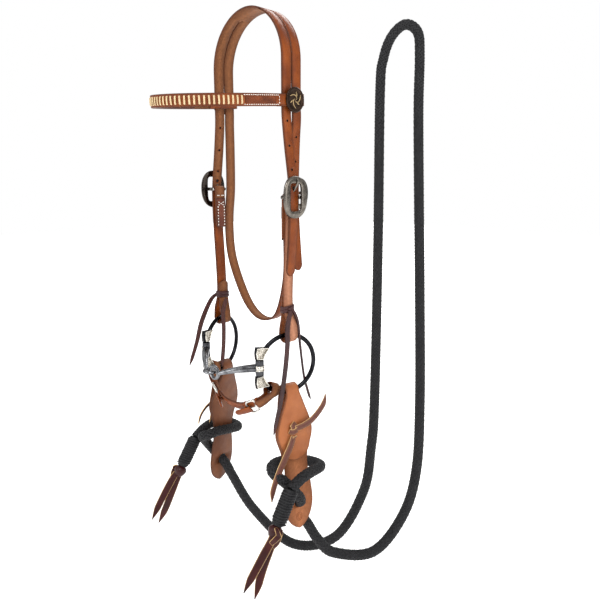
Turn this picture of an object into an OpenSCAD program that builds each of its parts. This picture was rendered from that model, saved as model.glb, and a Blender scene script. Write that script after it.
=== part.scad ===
// Western browband bridle: split crown with throatlatch, ring snaffle bit,
// curb strap, slobber straps and a round braided loop rein.
// X = out of the horse's near side, -Y = forehead side, +Z = up.
// The crown arch turns about the Y axis through the origin.

/* [Crown] */
// radius of the crown arch to the middle of its leather
arch_r = 76; // [74:0.5:78]
// thickness of the crown leather
crown_t = 3; // [2.6:0.1:3.2]
// width of the whole crown strap
crown_w = 37; // [36:0.5:38]
// gap between the two split straps
split_gap = 2; // [1.6:0.1:2.4]
// depth of the arch axis above the top of the split
split_depth = 66; // [64:1:68]
// depth of the cheek billet's tip
billet_tip_z = 302; // [296:1:306]
// depth of the throat billet's tip
throat_tip_z = 296; // [290:1:300]
// lowest point of the throatlatch
throat_drop = 383; // [378:1:388]

/* [Browband] */
// reach of the browband in front of the crown
brow_reach = 165; // [160:1:172]
// height of the browband
brow_h = 16.5; // [16:0.5:18]
// depth of the browband's middle below the arch axis
brow_z = 55; // [54:0.5:56]
// rise of the browband towards its far end, in degrees
brow_roll = 3.5; // [0:0.5:4]
// droop of the browband towards its front, in degrees
brow_pitch = 5; // [0:0.5:6]
// number of rawhide lacing bars on the near half
lace_count = 19; // [17:1:20]
// diameter of a concho
concho_d = 34; // [32:0.5:35]

/* [Cheek pieces] */
// width of the cheek strap
cheek_w = 19; // [18:0.5:19.5]
// thickness of the cheek strap leather
cheek_t = 3; // [2.8:0.1:3.2]
// depth of the near cheek buckle
near_buckle_z = 188; // [187:0.5:189]
// depth of the far cheek buckle
far_buckle_z = 178; // [177:0.5:179]
// depth of the throat buckle
throat_buckle_z = 183; // [182:0.5:184]

/* [Bit] */
// outer diameter of a bit ring
ring_od = 97; // [96:0.5:98]
// diameter of the ring wire
ring_wire = 7; // [6.8:0.1:7.2]
// half the distance between the ring centres
bit_half = 81; // [80.5:0.5:81.5]
// turn of each ring, front edge inwards
ring_splay = 18.4; // [17:0.2:19]
// mean radius of the interlocked mouthpiece eyes
eye_r = 9.5; // [9.2:0.1:9.8]

/* [Slobber straps and rein] */
// width of the slobber strap at its belly
belly_w = 68; // [64:1:70]
// thickness of the slobber strap leather
slobber_t = 3; // [2.8:0.1:3.2]
// outward lean of a slobber strap
slobber_lean = 6.5; // [6:0.1:7]
// turn of a slobber strap, front edge inwards
slobber_splay = 8; // [7.5:0.1:8.5]
// diameter of the braided rope
rope_d = 17; // [14:1:18]
// length of a rope end's whipping
whip_len = 54; // [50:1:62]

/* [Hidden] */

russet = [0.55, 0.27, 0.12];
latigo = [0.28, 0.10, 0.07];
nickel = [0.42, 0.39, 0.35];
blackened = [0.05, 0.05, 0.06];
silver = [0.75, 0.73, 0.70];

fit = 0.05;          // running clearance, shaft in bore
rest_gap = 0.3;      // gap between layers of leather
ply = 3.6;           // pitch of stacked leather layers
front_y = -crown_w / 2;
strap_w = (crown_w - split_gap) / 2;
cheek_y = front_y + strap_w / 2;
strap_y = cheek_y - 2.5;   // middle of the cheek strap and of its buckle
rear_y = -cheek_y;
bar_r = 2;
bar_in = ply + bar_r + cheek_t / 2 + rest_gap;   // buckle bar, inside the crown leather
frame_out = 5.6;     // buckle frame, outside the crown leather
frame_t = 4;
ring_r = (ring_od - ring_wire) / 2;
wire_r = ring_wire / 2;
ring_y = -15;
ring_z = -436;
ring_top = ring_z + ring_r;
ring_low = ring_z - ring_r;
loop_r = 8.6;          // inside of the cheek loop round the ring wire
bar_u = -ring_r;     // mouthpiece bar in the ring's own plane
fold_r = 8;          // inside of the slobber fold round the ring wire
fold_up = 1.5;
throat_x = arch_r - 4;   // rear near strap at the throat buckle
tongue_w = 3.6;
mouth_y = -95;       // interlocked eyes
mouth_z = -449;
eye_wire = 2.6;
eye_half = eye_r / 2;
curb_y = -39.5;
curb_r = 8;
curb_w = 12.5;
curb_t = 2.4;
curb_tilt = 25;
hole_drop = 181;     // rope hole below the ring wire
rope_r = rope_d / 2;
rope_sides = 10;

// ---- curves ----
function unit(v) = v / norm(v);
function mix4(a, b, c, d, t) =
  0.5 * (2 * b + (c - a) * t + (2 * a - 5 * b + 4 * c - d) * t * t + (3 * b - a - 3 * c + d) * t * t * t);
function curve(P, n) = let (e = len(P) - 1)
  [for (i = [0:e - 1]) for (j = [0:n - 1])
    mix4(P[max(i - 1, 0)], P[i], P[i + 1], P[min(i + 2, e)], j / n), P[e]];
function along(P, i) = unit(P[min(i + 1, len(P) - 1)] - P[max(i - 1, 0)]);
function left2(P, i) = let (d = along(P, i)) [-d[1], d[0]];
// outline of a strip of half width h about the line P
function strip(P, h) = concat([for (i = [0:len(P) - 1]) P[i] + h * left2(P, i)],
  [for (i = [len(P) - 1:-1:0]) P[i] - h * left2(P, i)]);
// outline from [y, z, width] stations
function leaf(S) = let (e = len(S) - 1)
  concat([for (i = [0:e]) [S[i][0] - S[i][2] / 2, S[i][1]]],
    [for (i = [e:-1:0]) [S[i][0] + S[i][2] / 2, S[i][1]]]);
function arc(c, r, a0, a1, n = 14) = [for (i = [0:n]) let (a = a0 + (a1 - a0) * i / n) c + r * [cos(a), sin(a)]];

// strip in the X-Z plane, w wide along Y from y0
module band_xz(P, t, y0, w)
  translate([0, y0 + w, 0]) rotate([90, 0, 0]) linear_extrude(w) polygon(strip(P, t / 2));
module plate_yz(x0, t) translate([x0, 0, 0]) rotate([90, 0, 90]) linear_extrude(t) children();
module near_side() children();
module far_side() mirror([1, 0, 0]) children();

// round tube along P; n0 starts the frame that is carried along the line
function across(v, t) = unit(v - (v * t) * t);
function carried(P, n0) = [for (i = 0, n = across(n0, along(P, 0)); i < len(P);
  i = i + 1, n = i < len(P) ? across(n, along(P, i)) : n) n];
module tube(P, r, n0) {
  N = carried(P, n0);
  m = rope_sides;
  e = len(P) - 1;
  pts = [for (i = [0:e]) let (b = cross(along(P, i), N[i])) for (k = [0:m - 1])
    P[i] + r * (cos(360 * k / m) * N[i] + sin(360 * k / m) * b)];
  quads = [for (i = [0:e - 1]) for (k = [0:m - 1]) let (a = i * m + k, b = i * m + (k + 1) % m)
    each [[a, a + m, b], [b, a + m, b + m]]];
  polyhedron(pts, concat(quads, [[for (k = [0:m - 1]) k]], [[for (k = [m - 1:-1:0]) e * m + k]]));
}

// ---- line of the hanging straps: outward bulge of each side by depth ----
leg_top = 2 - split_depth;   // the split straps start inside the leg
cheek_line = curve([[arch_r, leg_top], [arch_r + 0.6, leg_top - 16], [arch_r + 5, -117], [arch_r + 14, -182],
  [arch_r + 13, -240], [arch_r + 7, -billet_tip_z]], 8);
rear_far = curve([[arch_r, leg_top], [arch_r, leg_top - 16], [arch_r + 0.5, -117], [arch_r + 1.8, -178], [arch_r + 8, -232],
  [arch_r + 2, -290], [arch_r - 30, -354], [0, -throat_drop]], 8);
rear_near = curve([[arch_r, leg_top], [arch_r, leg_top - 16], [arch_r - 2, -117], [arch_r - 4, -throat_buckle_z],
  [arch_r - 2, -230], [arch_r + 4, -throat_tip_z]], 8);
function line_x(P, z) = lookup(-z, [for (p = P) [-p[1], p[0]]]);
function mirror_x(P) = [for (p = P) [-p[0], p[1]]];
function shift_x(P, d) = [for (p = P) [p[0] + d, p[1]]];

module arch() rotate([-90, 0, 0]) translate([0, 0, front_y]) rotate([0, 0, 180])
  rotate_extrude(angle = 180, $fn = 96) translate([arch_r - crown_t / 2, 0]) square([crown_t, crown_w]);

module punched(line, y, depths, r = 2)
  for (d = depths) translate([line_x(line, -d), y, -d]) rotate([0, 90, 0]) cylinder(r = r, h = 14, center = true, $fn = 24);
module tongue_slot(line, y, z) translate([line_x(line, -z) - 8, y - 2.4, -z - 12]) cube([16, 4.8, 36]);

module crown() color(russet) {
  throat_end = [throat_x - bar_in, -throat_buckle_z];
  near_rise = curve([[0, -throat_drop], [34, -358], [54, -300], [throat_end[0] - 7.2, -232],
    [throat_end[0] - 3.8, -throat_buckle_z - 14], throat_end + [-3.8, 0]], 8);
  difference() {
    union() {
      arch();
      for (m = [0, 1]) mirror([m, 0, 0]) {
        translate([arch_r - crown_t / 2 - 0.05, front_y - 0.05, -split_depth]) cube([crown_t + 0.1, crown_w + 0.1, split_depth]);
        band_xz(cheek_line, crown_t, front_y, strap_w);
      }
      band_xz(rear_near, crown_t, split_gap / 2, strap_w);
      band_xz(concat(mirror_x(rear_far), [for (i = [1:len(near_rise) - 1]) near_rise[i]],
        arc(throat_end, 3.8, 171, 9, 8), [throat_end + [4.2, -22]]), crown_t, split_gap / 2, strap_w);
    }
    punched(cheek_line, cheek_y, [83, 117, 150]);
    far_side() punched(cheek_line, cheek_y, [83, 117, 150]);
    punched(rear_near, rear_y, [104, 138]);
    tongue_slot(cheek_line, cheek_y, near_buckle_z);
    far_side() tongue_slot(cheek_line, cheek_y, far_buckle_z);
    tongue_slot(rear_near, rear_y, throat_buckle_z);
    translate([throat_end[0] - 7, rear_y - 2.4, -throat_buckle_z - 12]) cube([14, 4.8, 20]);
  }
}

// ---- browband ----
out_x = arch_r + crown_t / 2 + 2.4 + 1.3;   // middle of the outer ply beside the crown
brow_t = 2.6;
function brow_arc(a, x, y) = [x * sign(cos(a)) * pow(abs(cos(a)), 0.9), -24 - (y - 24) * pow(sin(a), 0.9)];
function brow_line(d, n = 40) = concat([[out_x + d, -18]],
  [for (i = [0:n]) brow_arc(180 * i / n, out_x + d, brow_reach + d)], [[-out_x - d, -18]]);
module level(h) translate([0, 0, -brow_z - h / 2]) linear_extrude(h) children();
module brow_loop() difference() {
  translate([out_x - 13.6 + brow_t / 2, -26]) square([13.6, 49]);
  translate([out_x - 11 + brow_t / 2, -23.4]) square([11 - brow_t, 44]);
}
module browband() color(russet) difference() {
  level(brow_h) union() {
    polygon(strip(brow_line(0), brow_t / 2 - 0.06));
    brow_loop();
    mirror([1, 0]) brow_loop();
  }
  for (m = [-1, 1]) translate([m * out_x, 0, -brow_z]) rotate([0, 90, 0])
    cylinder(r = 2.5 + fit, h = 6, center = true, $fn = 48);
}
module browband_lining() color(russet * 1.2) level(brow_h - 1)
  polygon(strip([for (i = [3:37]) brow_arc(180 * i / 40, out_x - brow_t - 0.2, brow_reach - brow_t - 0.2)], 1));
module lacing(side) for (i = [0:lace_count - 1]) {
  a = 26 + i * 3.2;
  d = brow_t / 2 + 0.95;
  p = brow_arc(a, out_x + d, brow_reach + d);
  q = brow_arc(a + 0.5, out_x + d, brow_reach + d);
  mirror([side, 0, 0]) translate([p[0], p[1], -brow_z]) rotate([0, 0, atan2(q[1] - p[1], q[0] - p[0])])
    cube([3, 1.4, brow_h - 3], center = true);
}
module browband_lacing() color([0.85, 0.78, 0.62]) { lacing(0); lacing(1); }
module overlay() color(latigo) level(brow_h - 2)
  polygon(strip([for (i = [1:5]) brow_arc(i * 4.2 + 1, out_x + brow_t / 2 + 1, brow_reach + brow_t / 2 + 1)], 0.8));

concho_x = out_x + brow_t / 2 + rest_gap;
module at_brow() translate([concho_x, 0, -brow_z]) rotate([brow_pitch, brow_roll, 0]) translate([-concho_x, 0, brow_z]) children();
module concho() color(nickel) translate([concho_x, 0, -brow_z]) rotate([0, 90, 0]) difference() {
  union() {
    rotate_extrude($fn = 96) polygon(concat([[0, 0], [concho_d / 2, 0], [concho_d / 2, 1.6]],
      [for (i = [0:8]) let (a = 10 * i) [(concho_d / 2 - 2) * cos(a), 2 + 3 * sin(a)]], [[0, 5]]));
    translate([0, 0, -brow_t - 2 * rest_gap]) cylinder(r = 2.5, h = brow_t + 2 * rest_gap + 0.5, $fn = 48);
  }
  translate([0, 0, -4]) cylinder(r = 1.5 + fit, h = 6, $fn = 32);
}
module concho_screw() color(nickel) translate([out_x - brow_t / 2 - rest_gap, 0, -brow_z]) rotate([0, 90, 0]) {
  translate([0, 0, -0.95]) cylinder(r = 5, h = 0.9, $fn = 48);
  translate([0, 0, -0.5]) cylinder(r = 1.5, h = 3.9, $fn = 32);
}

// ---- cheek pieces: chape, bar fold, strap, loop round the ring, tab ----
module cheek_strap(z) color(russet) {
  bx = line_x(cheek_line, -z) - bar_in;
  fold = bar_r + rest_gap + cheek_t / 2;
  path = concat([[bx - fold, -z - 68]], [[bx - fold, -z - 30]], arc([bx, -z], fold, 180, 0, 12),
    curve([[bx + fold - 0.2, -z - 30], [arch_r + 9.2, -240], [arch_r + 1, -316],
      [bit_half - loop_r - cheek_t / 2, -368], [bit_half - loop_r - cheek_t / 2, ring_top]], 6),
    arc([bit_half, ring_top], loop_r + cheek_t / 2, 195, 360, 14),
    curve([[bit_half + loop_r + 0.6, ring_top + 10], [arch_r + 5, -357], [arch_r + 4.6, -328]], 5));
  difference() {
    band_xz(path, cheek_t, strap_y - cheek_w / 2, cheek_w);
    translate([bx - 8, cheek_y - 2.4, -z - 12]) cube([16, 4.8, 20]);
  }
}
function oval(w, h, n = 40) = [for (i = [0:n - 1]) let (a = 360 * i / n)
  [w / 2 * sign(cos(a)) * pow(abs(cos(a)), 0.8), h / 2 * sign(sin(a)) * pow(abs(sin(a)), 0.8)]];
module buckle(x, y, z, w, h, post) color(nickel) {
  translate([x, y, z]) {
    plate_yz(frame_out - frame_t / 2, frame_t) difference() {
      polygon(oval(w, h));
      polygon(oval(w - 9, h - 11));
    }
    for (s = [-1, 1]) translate([-bar_in - 2.6, s * post, 0]) rotate([0, 90, 0]) difference() {
      cylinder(r = 3, h = bar_in + frame_out + 2, $fn = 32);
      translate([0, 0, 2.6]) rotate([90, 0, 0]) cylinder(r = bar_r + 0.02, h = 20, center = true, $fn = 48);
    }
  }
}
module bar(x, y, z, post) color(nickel) translate([x - bar_in, y, z]) rotate([90, 0, 0])
  cylinder(r = bar_r, h = 2 * post + 6, center = true, $fn = 48);
// tongue: hub round the bar and a prong out through the strap to the frame's top side
module tongue(x, y, z, reach, hw) color(nickel) translate([x - bar_in, y, z]) rotate([90, 0, 0])
  translate([0, 0, -hw / 2]) difference() {
    lift = bar_in + frame_out + frame_t / 2 + 0.2;   // inner face of the prong's end, resting on the frame
    union() {
      cylinder(r = bar_r + 1.5, h = hw, $fn = 48);
      linear_extrude(hw) polygon([[-2, 2.4], [2.6, -1.6], [lift + 1.8, reach - 7.5],
        [lift + 1.8, reach], [lift, reach], [lift, reach - 4]]);
    }
    translate([0, 0, -1]) cylinder(r = bar_r + fit, h = hw + 2, $fn = 48);
  }
near_x = line_x(cheek_line, -near_buckle_z);
far_x = line_x(cheek_line, -far_buckle_z);

module cheek_thong() color(latigo) {
  w = cheek_w + 1.4;
  translate([bit_half - 14.2, strap_y - 2.5 - w / 2, -356]) difference() {
    cube([18.7, w + 5, 11]);
    translate([2.2, 2.5, -1]) cube([14.3, w, 13]);
  }
  plate_yz(bit_half + 5, 2.2) polygon(leaf([[-16, -359, 8], [-22, -380, 8], [-30, -420, 7], [-44, -470, 7], [-52, -505, 3]]));
}

// ---- bit ----
module at_ring() translate([bit_half, ring_y, ring_z]) rotate([0, 0, -ring_splay]) children();
module flare(grow) {
  pts = concat([[bar_u - 6.5 - grow, 13 - grow], [bar_u - 6.5 - grow, 32 + grow]],
    [for (i = [0:8]) let (a = 180 - 44.5 + i * 27 / 8) (ring_r - wire_r - grow) * [cos(a), sin(a)]]);
  for (m = [0, 1]) mirror([0, m]) polygon(pts);
}
module ring() color(blackened) at_ring() {
  rotate([90, 0, 90]) rotate([0, 0, -140]) rotate_extrude(angle = 280, $fn = 120)
    translate([ring_r, 0]) circle(r = wire_r, $fn = 32);
  plate_yz(-3.4, 6.8) flare(0);
  translate([0, bar_u, -13]) cylinder(r = 4, h = 26, $fn = 48);
}
module trim() color(silver) at_ring() plate_yz(3.6, 1.2) flare(-1.2);
bar_at = [bit_half + bar_u * sin(ring_splay), ring_y + bar_u * cos(ring_splay), ring_z];
module cannon(flat) color(blackened) {
  root = [eye_half + eye_r, mouth_y, mouth_z];
  v = bar_at - root;
  difference() {
    union() {
      translate(bar_at - [0, 0, 12]) cylinder(r = 6.4, h = 24, $fn = 64);
      translate(root) rotate([0, acos(v[2] / norm(v)), atan2(v[1], v[0])]) cylinder(r1 = 3, r2 = 6, h = norm(v), $fn = 48);
      translate([eye_half, mouth_y, mouth_z]) rotate([flat ? 0 : 90, 0, 0]) rotate_extrude($fn = 64)
        translate([eye_r, 0]) circle(r = eye_wire, $fn = 24);
    }
    translate(bar_at - [0, 0, 20]) cylinder(r = 4 + fit, h = 40, $fn = 64);
  }
}
module cannon_band() color(silver) translate(bar_at - [0, 0, 3.5]) rotate([0, 0, -ring_splay - 60])
  rotate_extrude(angle = 135, $fn = 64) translate([6.45, 0]) square([1, 7]);

// ---- curb strap ----
curb_u = (curb_y - ring_y) / cos(ring_splay);
curb_x = bit_half + curb_u * sin(ring_splay);
curb_z = ring_z - sqrt(ring_r * ring_r - curb_u * curb_u);
curb_mid = curve([[curb_x - 3, -9.3], [56, -18], [30, -27], [0, -30], [-30, -27], [-56, -18], [3 - curb_x, -9.3]], 6);
module at_curb() translate([0, curb_y, curb_z]) rotate([-curb_tilt, 0, 0]) children();
module curb_strap() color(russet) at_curb() difference() {
  union() {
    band_xz(curb_mid, curb_t, -curb_w / 2, curb_w);
    for (m = [-1, 1]) translate([m * curb_x, curb_w / 2, 0]) rotate([90, 0, 0]) cylinder(r = curb_r + curb_t, h = curb_w, $fn = 48);
  }
  for (m = [-1, 1]) translate([m * curb_x, 9, 0]) rotate([90, 0, 0]) cylinder(r = curb_r, h = 18, $fn = 48);
}
curb_buckle_x = 43;
curb_slope = 20;
module at_curb_buckle() at_curb() translate([curb_buckle_x, 0, -23.2]) rotate([0, -curb_slope, 0]) translate([0, 0, -curb_t / 2 - 2.2]) children();
module curb_buckle() color(silver) at_curb_buckle() {
  for (s = [-1, 1]) {
    translate([s * 8, 0, 0]) rotate([90, 0, 0]) cylinder(r = 1.4, h = 21, center = true, $fn = 24);
    translate([-9.4, s * 9.4 - 1.2, -1.2]) cube([18.8, 2.4, 2.4]);
  }
}
module curb_tongue() color(silver) at_curb_buckle() rotate([90, 0, 0]) translate([0, 0, -1.3]) difference() {
  union() {
    translate([8, 0]) cylinder(r = 2.1, h = 2.6, $fn = 32);
    linear_extrude(2.6) polygon([[7, -1.9], [7.4, -1.2], [-9.6, -2.2], [-9.6, -3.4], [6.2, -3]]);
    translate([0, 0, 0]) linear_extrude(2.6) polygon([[6, -3], [8.6, -1.6], [8.6, -2], [7, -3.2]]);
  }
  translate([8, 0, -1]) cylinder(r = 1.4 + fit, h = 5, $fn = 32);
}
module curb_tip() color(russet) at_curb_buckle() difference() {
  translate([-20, -5, -5.8]) cube([14, 10, 1.8]);
  translate([-10.8, -1.9, -6]) cube([6, 3.8, 3]);   // slit the tongue passes through
}

// ---- slobber straps: folded plate on the ring's lower wire ----
module at_fold() translate([bit_half, ring_y, ring_low]) rotate([0, 0, -slobber_splay]) rotate([0, -slobber_lean, 0]) children();
function fold_side(s, low) = curve([[s * (fold_r + slobber_t / 2), fold_up], [s * (fold_r + slobber_t / 2), -10],
  [s * 5, -34], [s * 2.2, -56], [s * 2, -80], [s * 2, low]], 5);
slobber_half = curve([[3, 14, 28], [3, -2, 29], [4, -20, 38], [7, -62, belly_w], [7, -112, 46], [8, -185, 52],
  [6, -215, 34], [5, -236, 3]], 6);
outer_half = curve([[3, 14, 28], [3, -2, 29], [4, -20, 38], [7, -62, belly_w], [7, -96, 48], [7, -114, 22]], 6);
module slobber() color(russet * 1.25) at_fold() {
  difference() {
    intersection() {
      union() {
        band_xz(fold_side(-1, -240), slobber_t, -60, 120);
        translate([0, -60, fold_up]) difference() {
          translate([0, 120, 0]) rotate([90, 0, 0]) cylinder(r = fold_r + slobber_t, h = 120, $fn = 64);
          translate([0, 121, 0]) rotate([90, 0, 0]) cylinder(r = fold_r, h = 122, $fn = 64);
          translate([-20, -1, -20.2]) cube([40, 122, 20]);
        }
      }
      plate_yz(-20, 40) polygon(leaf(slobber_half));
    }
    translate([-10, 8, -hole_drop]) rotate([0, 90, 0]) cylinder(r = rope_r + 0.9, h = 20, $fn = 48);
  }
  intersection() {
    band_xz(fold_side(1, -116), slobber_t, -60, 120);
    plate_yz(0, 20) polygon(leaf(outer_half));
  }
}
module slobber_thong() color(latigo) at_fold() {
  plate_yz(4.8, 2.6) polygon(leaf([[-2, -53, 16], [4, -58, 20], [6, -64, 16]]));
  translate([7, 0, 0]) plate_yz(0, 2.2) polygon(leaf([[2, -58, 9], [-8, -74, 8], [-22, -90, 7], [-31, -99, 3]]));
  translate([7, 0, 0]) plate_yz(0, 2.2) polygon(strip([[4, -57], [40, -56], [78, -42]], 3));
}

// ---- rein ----
function hang(p) = let (l = slobber_lean, s = slobber_splay,
    x = p[0] * cos(l) - p[2] * sin(l), z = p[2] * cos(l) + p[0] * sin(l))
  [bit_half + x * cos(s) + p[1] * sin(s), ring_y + p[1] * cos(s) - x * sin(s), ring_low + z];
function swap(p) = [-p[0], p[1], p[2]];
// hitch: in through the hole, round the front edge, behind, round the rear edge, over in front
hitch = [[-24, 18, -214], [-17.5, 11.5, -196], [-9, 8.2, -184.5], [-1, 7.6, -181], [7, 5.6, -176],
  [13, -2, -164], [14, -14, -148], [11.5, -26, -133], [3, -36.5, -121], [-9, -33, -114],
  [-13.5, -16, -112], [-13.5, 20, -120], [-9, 39, -126], [4, 46.5, -129], [19, 39, -127],
  [29.5, 14, -124], [31, -8, -128], [31, -27, -138]];
whip_dir = unit([0, -32, -50]);
whip_gap = 1;
function rope_path() = curve(concat(
  [for (i = [len(hitch) - 1:-1:0]) hang(hitch[i])],
  [[92, 16, -713], [108, 27, -743], [129, 44, -766], [171, 95, -769], [194, 143, -714], [198, 172, -640],
   [184, 195, -526], [159, 220, -361], [133, 244, -196], [110, 266, -48], [98, 281, 42], [90, 284, 80],
   [73, 272, 93], [58, 255, 74], [51, 243, 38], [55, 231, -17], [87, 195, -264], [121, 153, -532],
   [128, 138, -613], [122, 127, -694], [86, 96, -784], [22, 53, -808], [-54, 27, -762]],
  [for (h = hitch) swap(hang(h))]), 5);
module rein_rope() color(blackened) tube(rope_path(), rope_r, [0, 0, 1]);
module at_whip() at_fold() translate(hitch[len(hitch) - 1] + whip_dir * whip_gap) rotate([-acos(-whip_dir[2]), 0, 0]) children();
module whipping() color(blackened) at_whip() translate([0, 0, -whip_len]) cylinder(r = rope_r + 0.6, h = whip_len, $fn = 32);
popper_pivot = whip_len + 9;
module popper() color(latigo) at_whip() translate([0, 0, -popper_pivot]) plate_yz(-1.5, 3) union() {
  circle(r = 8, $fn = 48);
  polygon([[-8, 0], [-7, -40], [-14, -98], [-4, -88], [-1, -52], [2, -90], [10, -104], [8, -40], [8, 0]]);
}

crown();
at_brow() browband();
at_brow() browband_lining();
at_brow() browband_lacing();
at_brow() near_side() overlay();  // near_overlay
at_brow() far_side() overlay();  // far_overlay
at_brow() near_side() concho();  // near_concho
at_brow() far_side() concho();  // far_concho
at_brow() near_side() concho_screw();  // near_concho_screw
at_brow() far_side() concho_screw();  // far_concho_screw
near_side() cheek_strap(near_buckle_z);  // near_cheek_strap
far_side() cheek_strap(far_buckle_z);  // far_cheek_strap
near_side() buckle(near_x, strap_y, -near_buckle_z, 42, 58, 16.5);  // near_cheek_buckle
far_side() buckle(far_x, strap_y, -far_buckle_z, 42, 58, 16.5);  // far_cheek_buckle
near_side() buckle(throat_x, rear_y + 4, -throat_buckle_z, 32, 44, 15.9);  // throat_buckle
near_side() bar(near_x, strap_y, -near_buckle_z, 16.5);  // near_cheek_bar
far_side() bar(far_x, strap_y, -far_buckle_z, 16.5);  // far_cheek_bar
near_side() bar(throat_x, rear_y + 4, -throat_buckle_z, 15.9);  // throat_bar
near_side() tongue(near_x, cheek_y, -near_buckle_z, 26, tongue_w);  // near_cheek_tongue
far_side() tongue(far_x, cheek_y, -far_buckle_z, 26, tongue_w);  // far_cheek_tongue
near_side() tongue(throat_x, rear_y, -throat_buckle_z, 19.4, tongue_w);  // throat_tongue
near_side() cheek_thong();  // near_cheek_thong
far_side() cheek_thong();  // far_cheek_thong
near_side() ring();  // near_ring
far_side() ring();  // far_ring
near_side() trim();  // near_trim
far_side() trim();  // far_trim
near_side() cannon(false);  // near_cannon
far_side() cannon(true);  // far_cannon
near_side() cannon_band();  // near_cannon_band
far_side() cannon_band();  // far_cannon_band
curb_strap();
near_side() curb_buckle();  // near_curb_buckle
far_side() curb_buckle();  // far_curb_buckle
near_side() curb_tongue();  // near_curb_tongue
far_side() curb_tongue();  // far_curb_tongue
near_side() curb_tip();  // near_curb_tip
far_side() curb_tip();  // far_curb_tip
near_side() slobber();  // near_slobber
far_side() slobber();  // far_slobber
near_side() slobber_thong();  // near_slobber_thong
far_side() slobber_thong();  // far_slobber_thong
rein_rope();
near_side() whipping();  // near_whipping
far_side() whipping();  // far_whipping
near_side() popper();  // near_popper
far_side() popper();  // far_popper
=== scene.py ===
import math

import bmesh
import bpy
import numpy as np
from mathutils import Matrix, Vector


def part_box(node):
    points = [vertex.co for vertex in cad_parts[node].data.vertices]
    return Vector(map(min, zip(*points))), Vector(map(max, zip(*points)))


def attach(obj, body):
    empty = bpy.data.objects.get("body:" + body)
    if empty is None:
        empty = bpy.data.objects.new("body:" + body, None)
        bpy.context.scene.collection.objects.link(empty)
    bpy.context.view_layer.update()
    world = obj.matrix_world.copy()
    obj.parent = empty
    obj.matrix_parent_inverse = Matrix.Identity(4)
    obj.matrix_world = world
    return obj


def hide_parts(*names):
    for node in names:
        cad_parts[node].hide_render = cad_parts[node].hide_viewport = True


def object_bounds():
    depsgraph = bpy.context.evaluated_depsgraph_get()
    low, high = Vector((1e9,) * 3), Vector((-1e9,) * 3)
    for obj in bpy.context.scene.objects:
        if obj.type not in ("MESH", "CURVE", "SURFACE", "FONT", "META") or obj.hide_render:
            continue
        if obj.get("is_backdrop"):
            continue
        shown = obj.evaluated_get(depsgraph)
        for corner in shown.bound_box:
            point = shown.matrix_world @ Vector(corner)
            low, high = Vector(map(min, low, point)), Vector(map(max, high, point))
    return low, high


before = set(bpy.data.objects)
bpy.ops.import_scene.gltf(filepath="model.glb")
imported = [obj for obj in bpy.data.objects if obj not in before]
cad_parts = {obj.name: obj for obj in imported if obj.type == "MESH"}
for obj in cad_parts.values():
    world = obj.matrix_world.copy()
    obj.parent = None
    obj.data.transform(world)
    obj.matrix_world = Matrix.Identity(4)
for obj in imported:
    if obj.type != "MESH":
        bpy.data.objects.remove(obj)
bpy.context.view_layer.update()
MM = 0.001


# ---- sizes read from the frame, in millimetres ----
def box(node):
    low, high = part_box(node)
    return np.array(low) / MM, np.array(high) / MM


def middle(node):
    low, high = box(node)
    return (low + high) / 2


CROWN_T = 3.0
ARCH_R = box("crown")[1][2] - CROWN_T / 2
CROWN_Y = box("crown")[1][1]
STRAP_W = CROWN_Y - 1.0
FRONT_Y = -1.0 - STRAP_W / 2
REAR_Y = -FRONT_Y
BILLET_Z = 302.0
THROAT_TIP_Z = 296.0
THROAT_LOW = box("crown")[0][2] + CROWN_T / 2
BROW_Z = round(middle("near_concho_screw")[2])
BROW_H = 16.5
BROW_FRONT = 165.0
BROW_T = 2.6
OUT_X = ARCH_R + 5.2
BROW_ROLL = 3.5
BROW_PITCH = 5.0
CONCHO_X = OUT_X + 1.6
CONCHO_R = 17.0
BUCKLE_Z = {1: middle("near_cheek_bar")[2], -1: middle("far_cheek_bar")[2]}
BAR_X = {1: middle("near_cheek_bar")[0], -1: -middle("far_cheek_bar")[0]}
STRAP_Y = middle("near_cheek_bar")[1]
CHEEK_W = box("near_cheek_strap")[1][1] - box("near_cheek_strap")[0][1]
THROAT_BAR = middle("throat_bar")
RING_HALF = 81.0
RING_Y = -15.0
RING_Z = -436.0
RING_R = 45.0
WIRE_R = 3.5
SPLAY = 18.4
BAR_IN = 7.4
FOLD_LEAN = 6.5
FOLD_SPLAY = 8.0
ROPE_R = 8.5
SIDES = {"near": 1, "far": -1}


# ---- curves ----
def curve(points, n=8):
    """A smooth line through the points."""
    p = np.array(points, float)
    out = []
    for i in range(len(p) - 1):
        a, b, c, d = p[max(i - 1, 0)], p[i], p[i + 1], p[min(i + 2, len(p) - 1)]
        for j in range(n):
            t = j / n
            out.append(0.5 * (2 * b + (c - a) * t + (2 * a - 5 * b + 4 * c - d) * t * t
                              + (3 * b - a - 3 * c + d) * t ** 3))
    out.append(p[-1])
    return np.array(out)


def even(points, step):
    """The same line with evenly spaced points."""
    p = np.array(points, float)
    run = np.r_[0, np.cumsum(np.linalg.norm(np.diff(p, axis=0), axis=1))]
    n = max(2, int(round(run[-1] / step)) + 1)
    s = np.linspace(0, run[-1], n)
    return np.stack([np.interp(s, run, p[:, k]) for k in range(p.shape[1])], 1)


def length_along(p):
    return np.r_[0, np.cumsum(np.linalg.norm(np.diff(p, axis=0), axis=1))]


def unit(v):
    return v / np.maximum(np.linalg.norm(v, axis=-1, keepdims=True), 1e-9)


def tangents(p):
    return unit(np.gradient(p, axis=0))


def carried(p, start):
    """Normals carried along a line without twist."""
    t = tangents(p)
    n = np.array(start, float)
    out = []
    for i in range(len(p)):
        n = n - np.dot(n, t[i]) * t[i]
        n = n / np.linalg.norm(n)
        out.append(n.copy())
    return np.array(out)


def flip(p, side):
    return np.array(p, float) * np.array([side, 1, 1])


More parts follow.
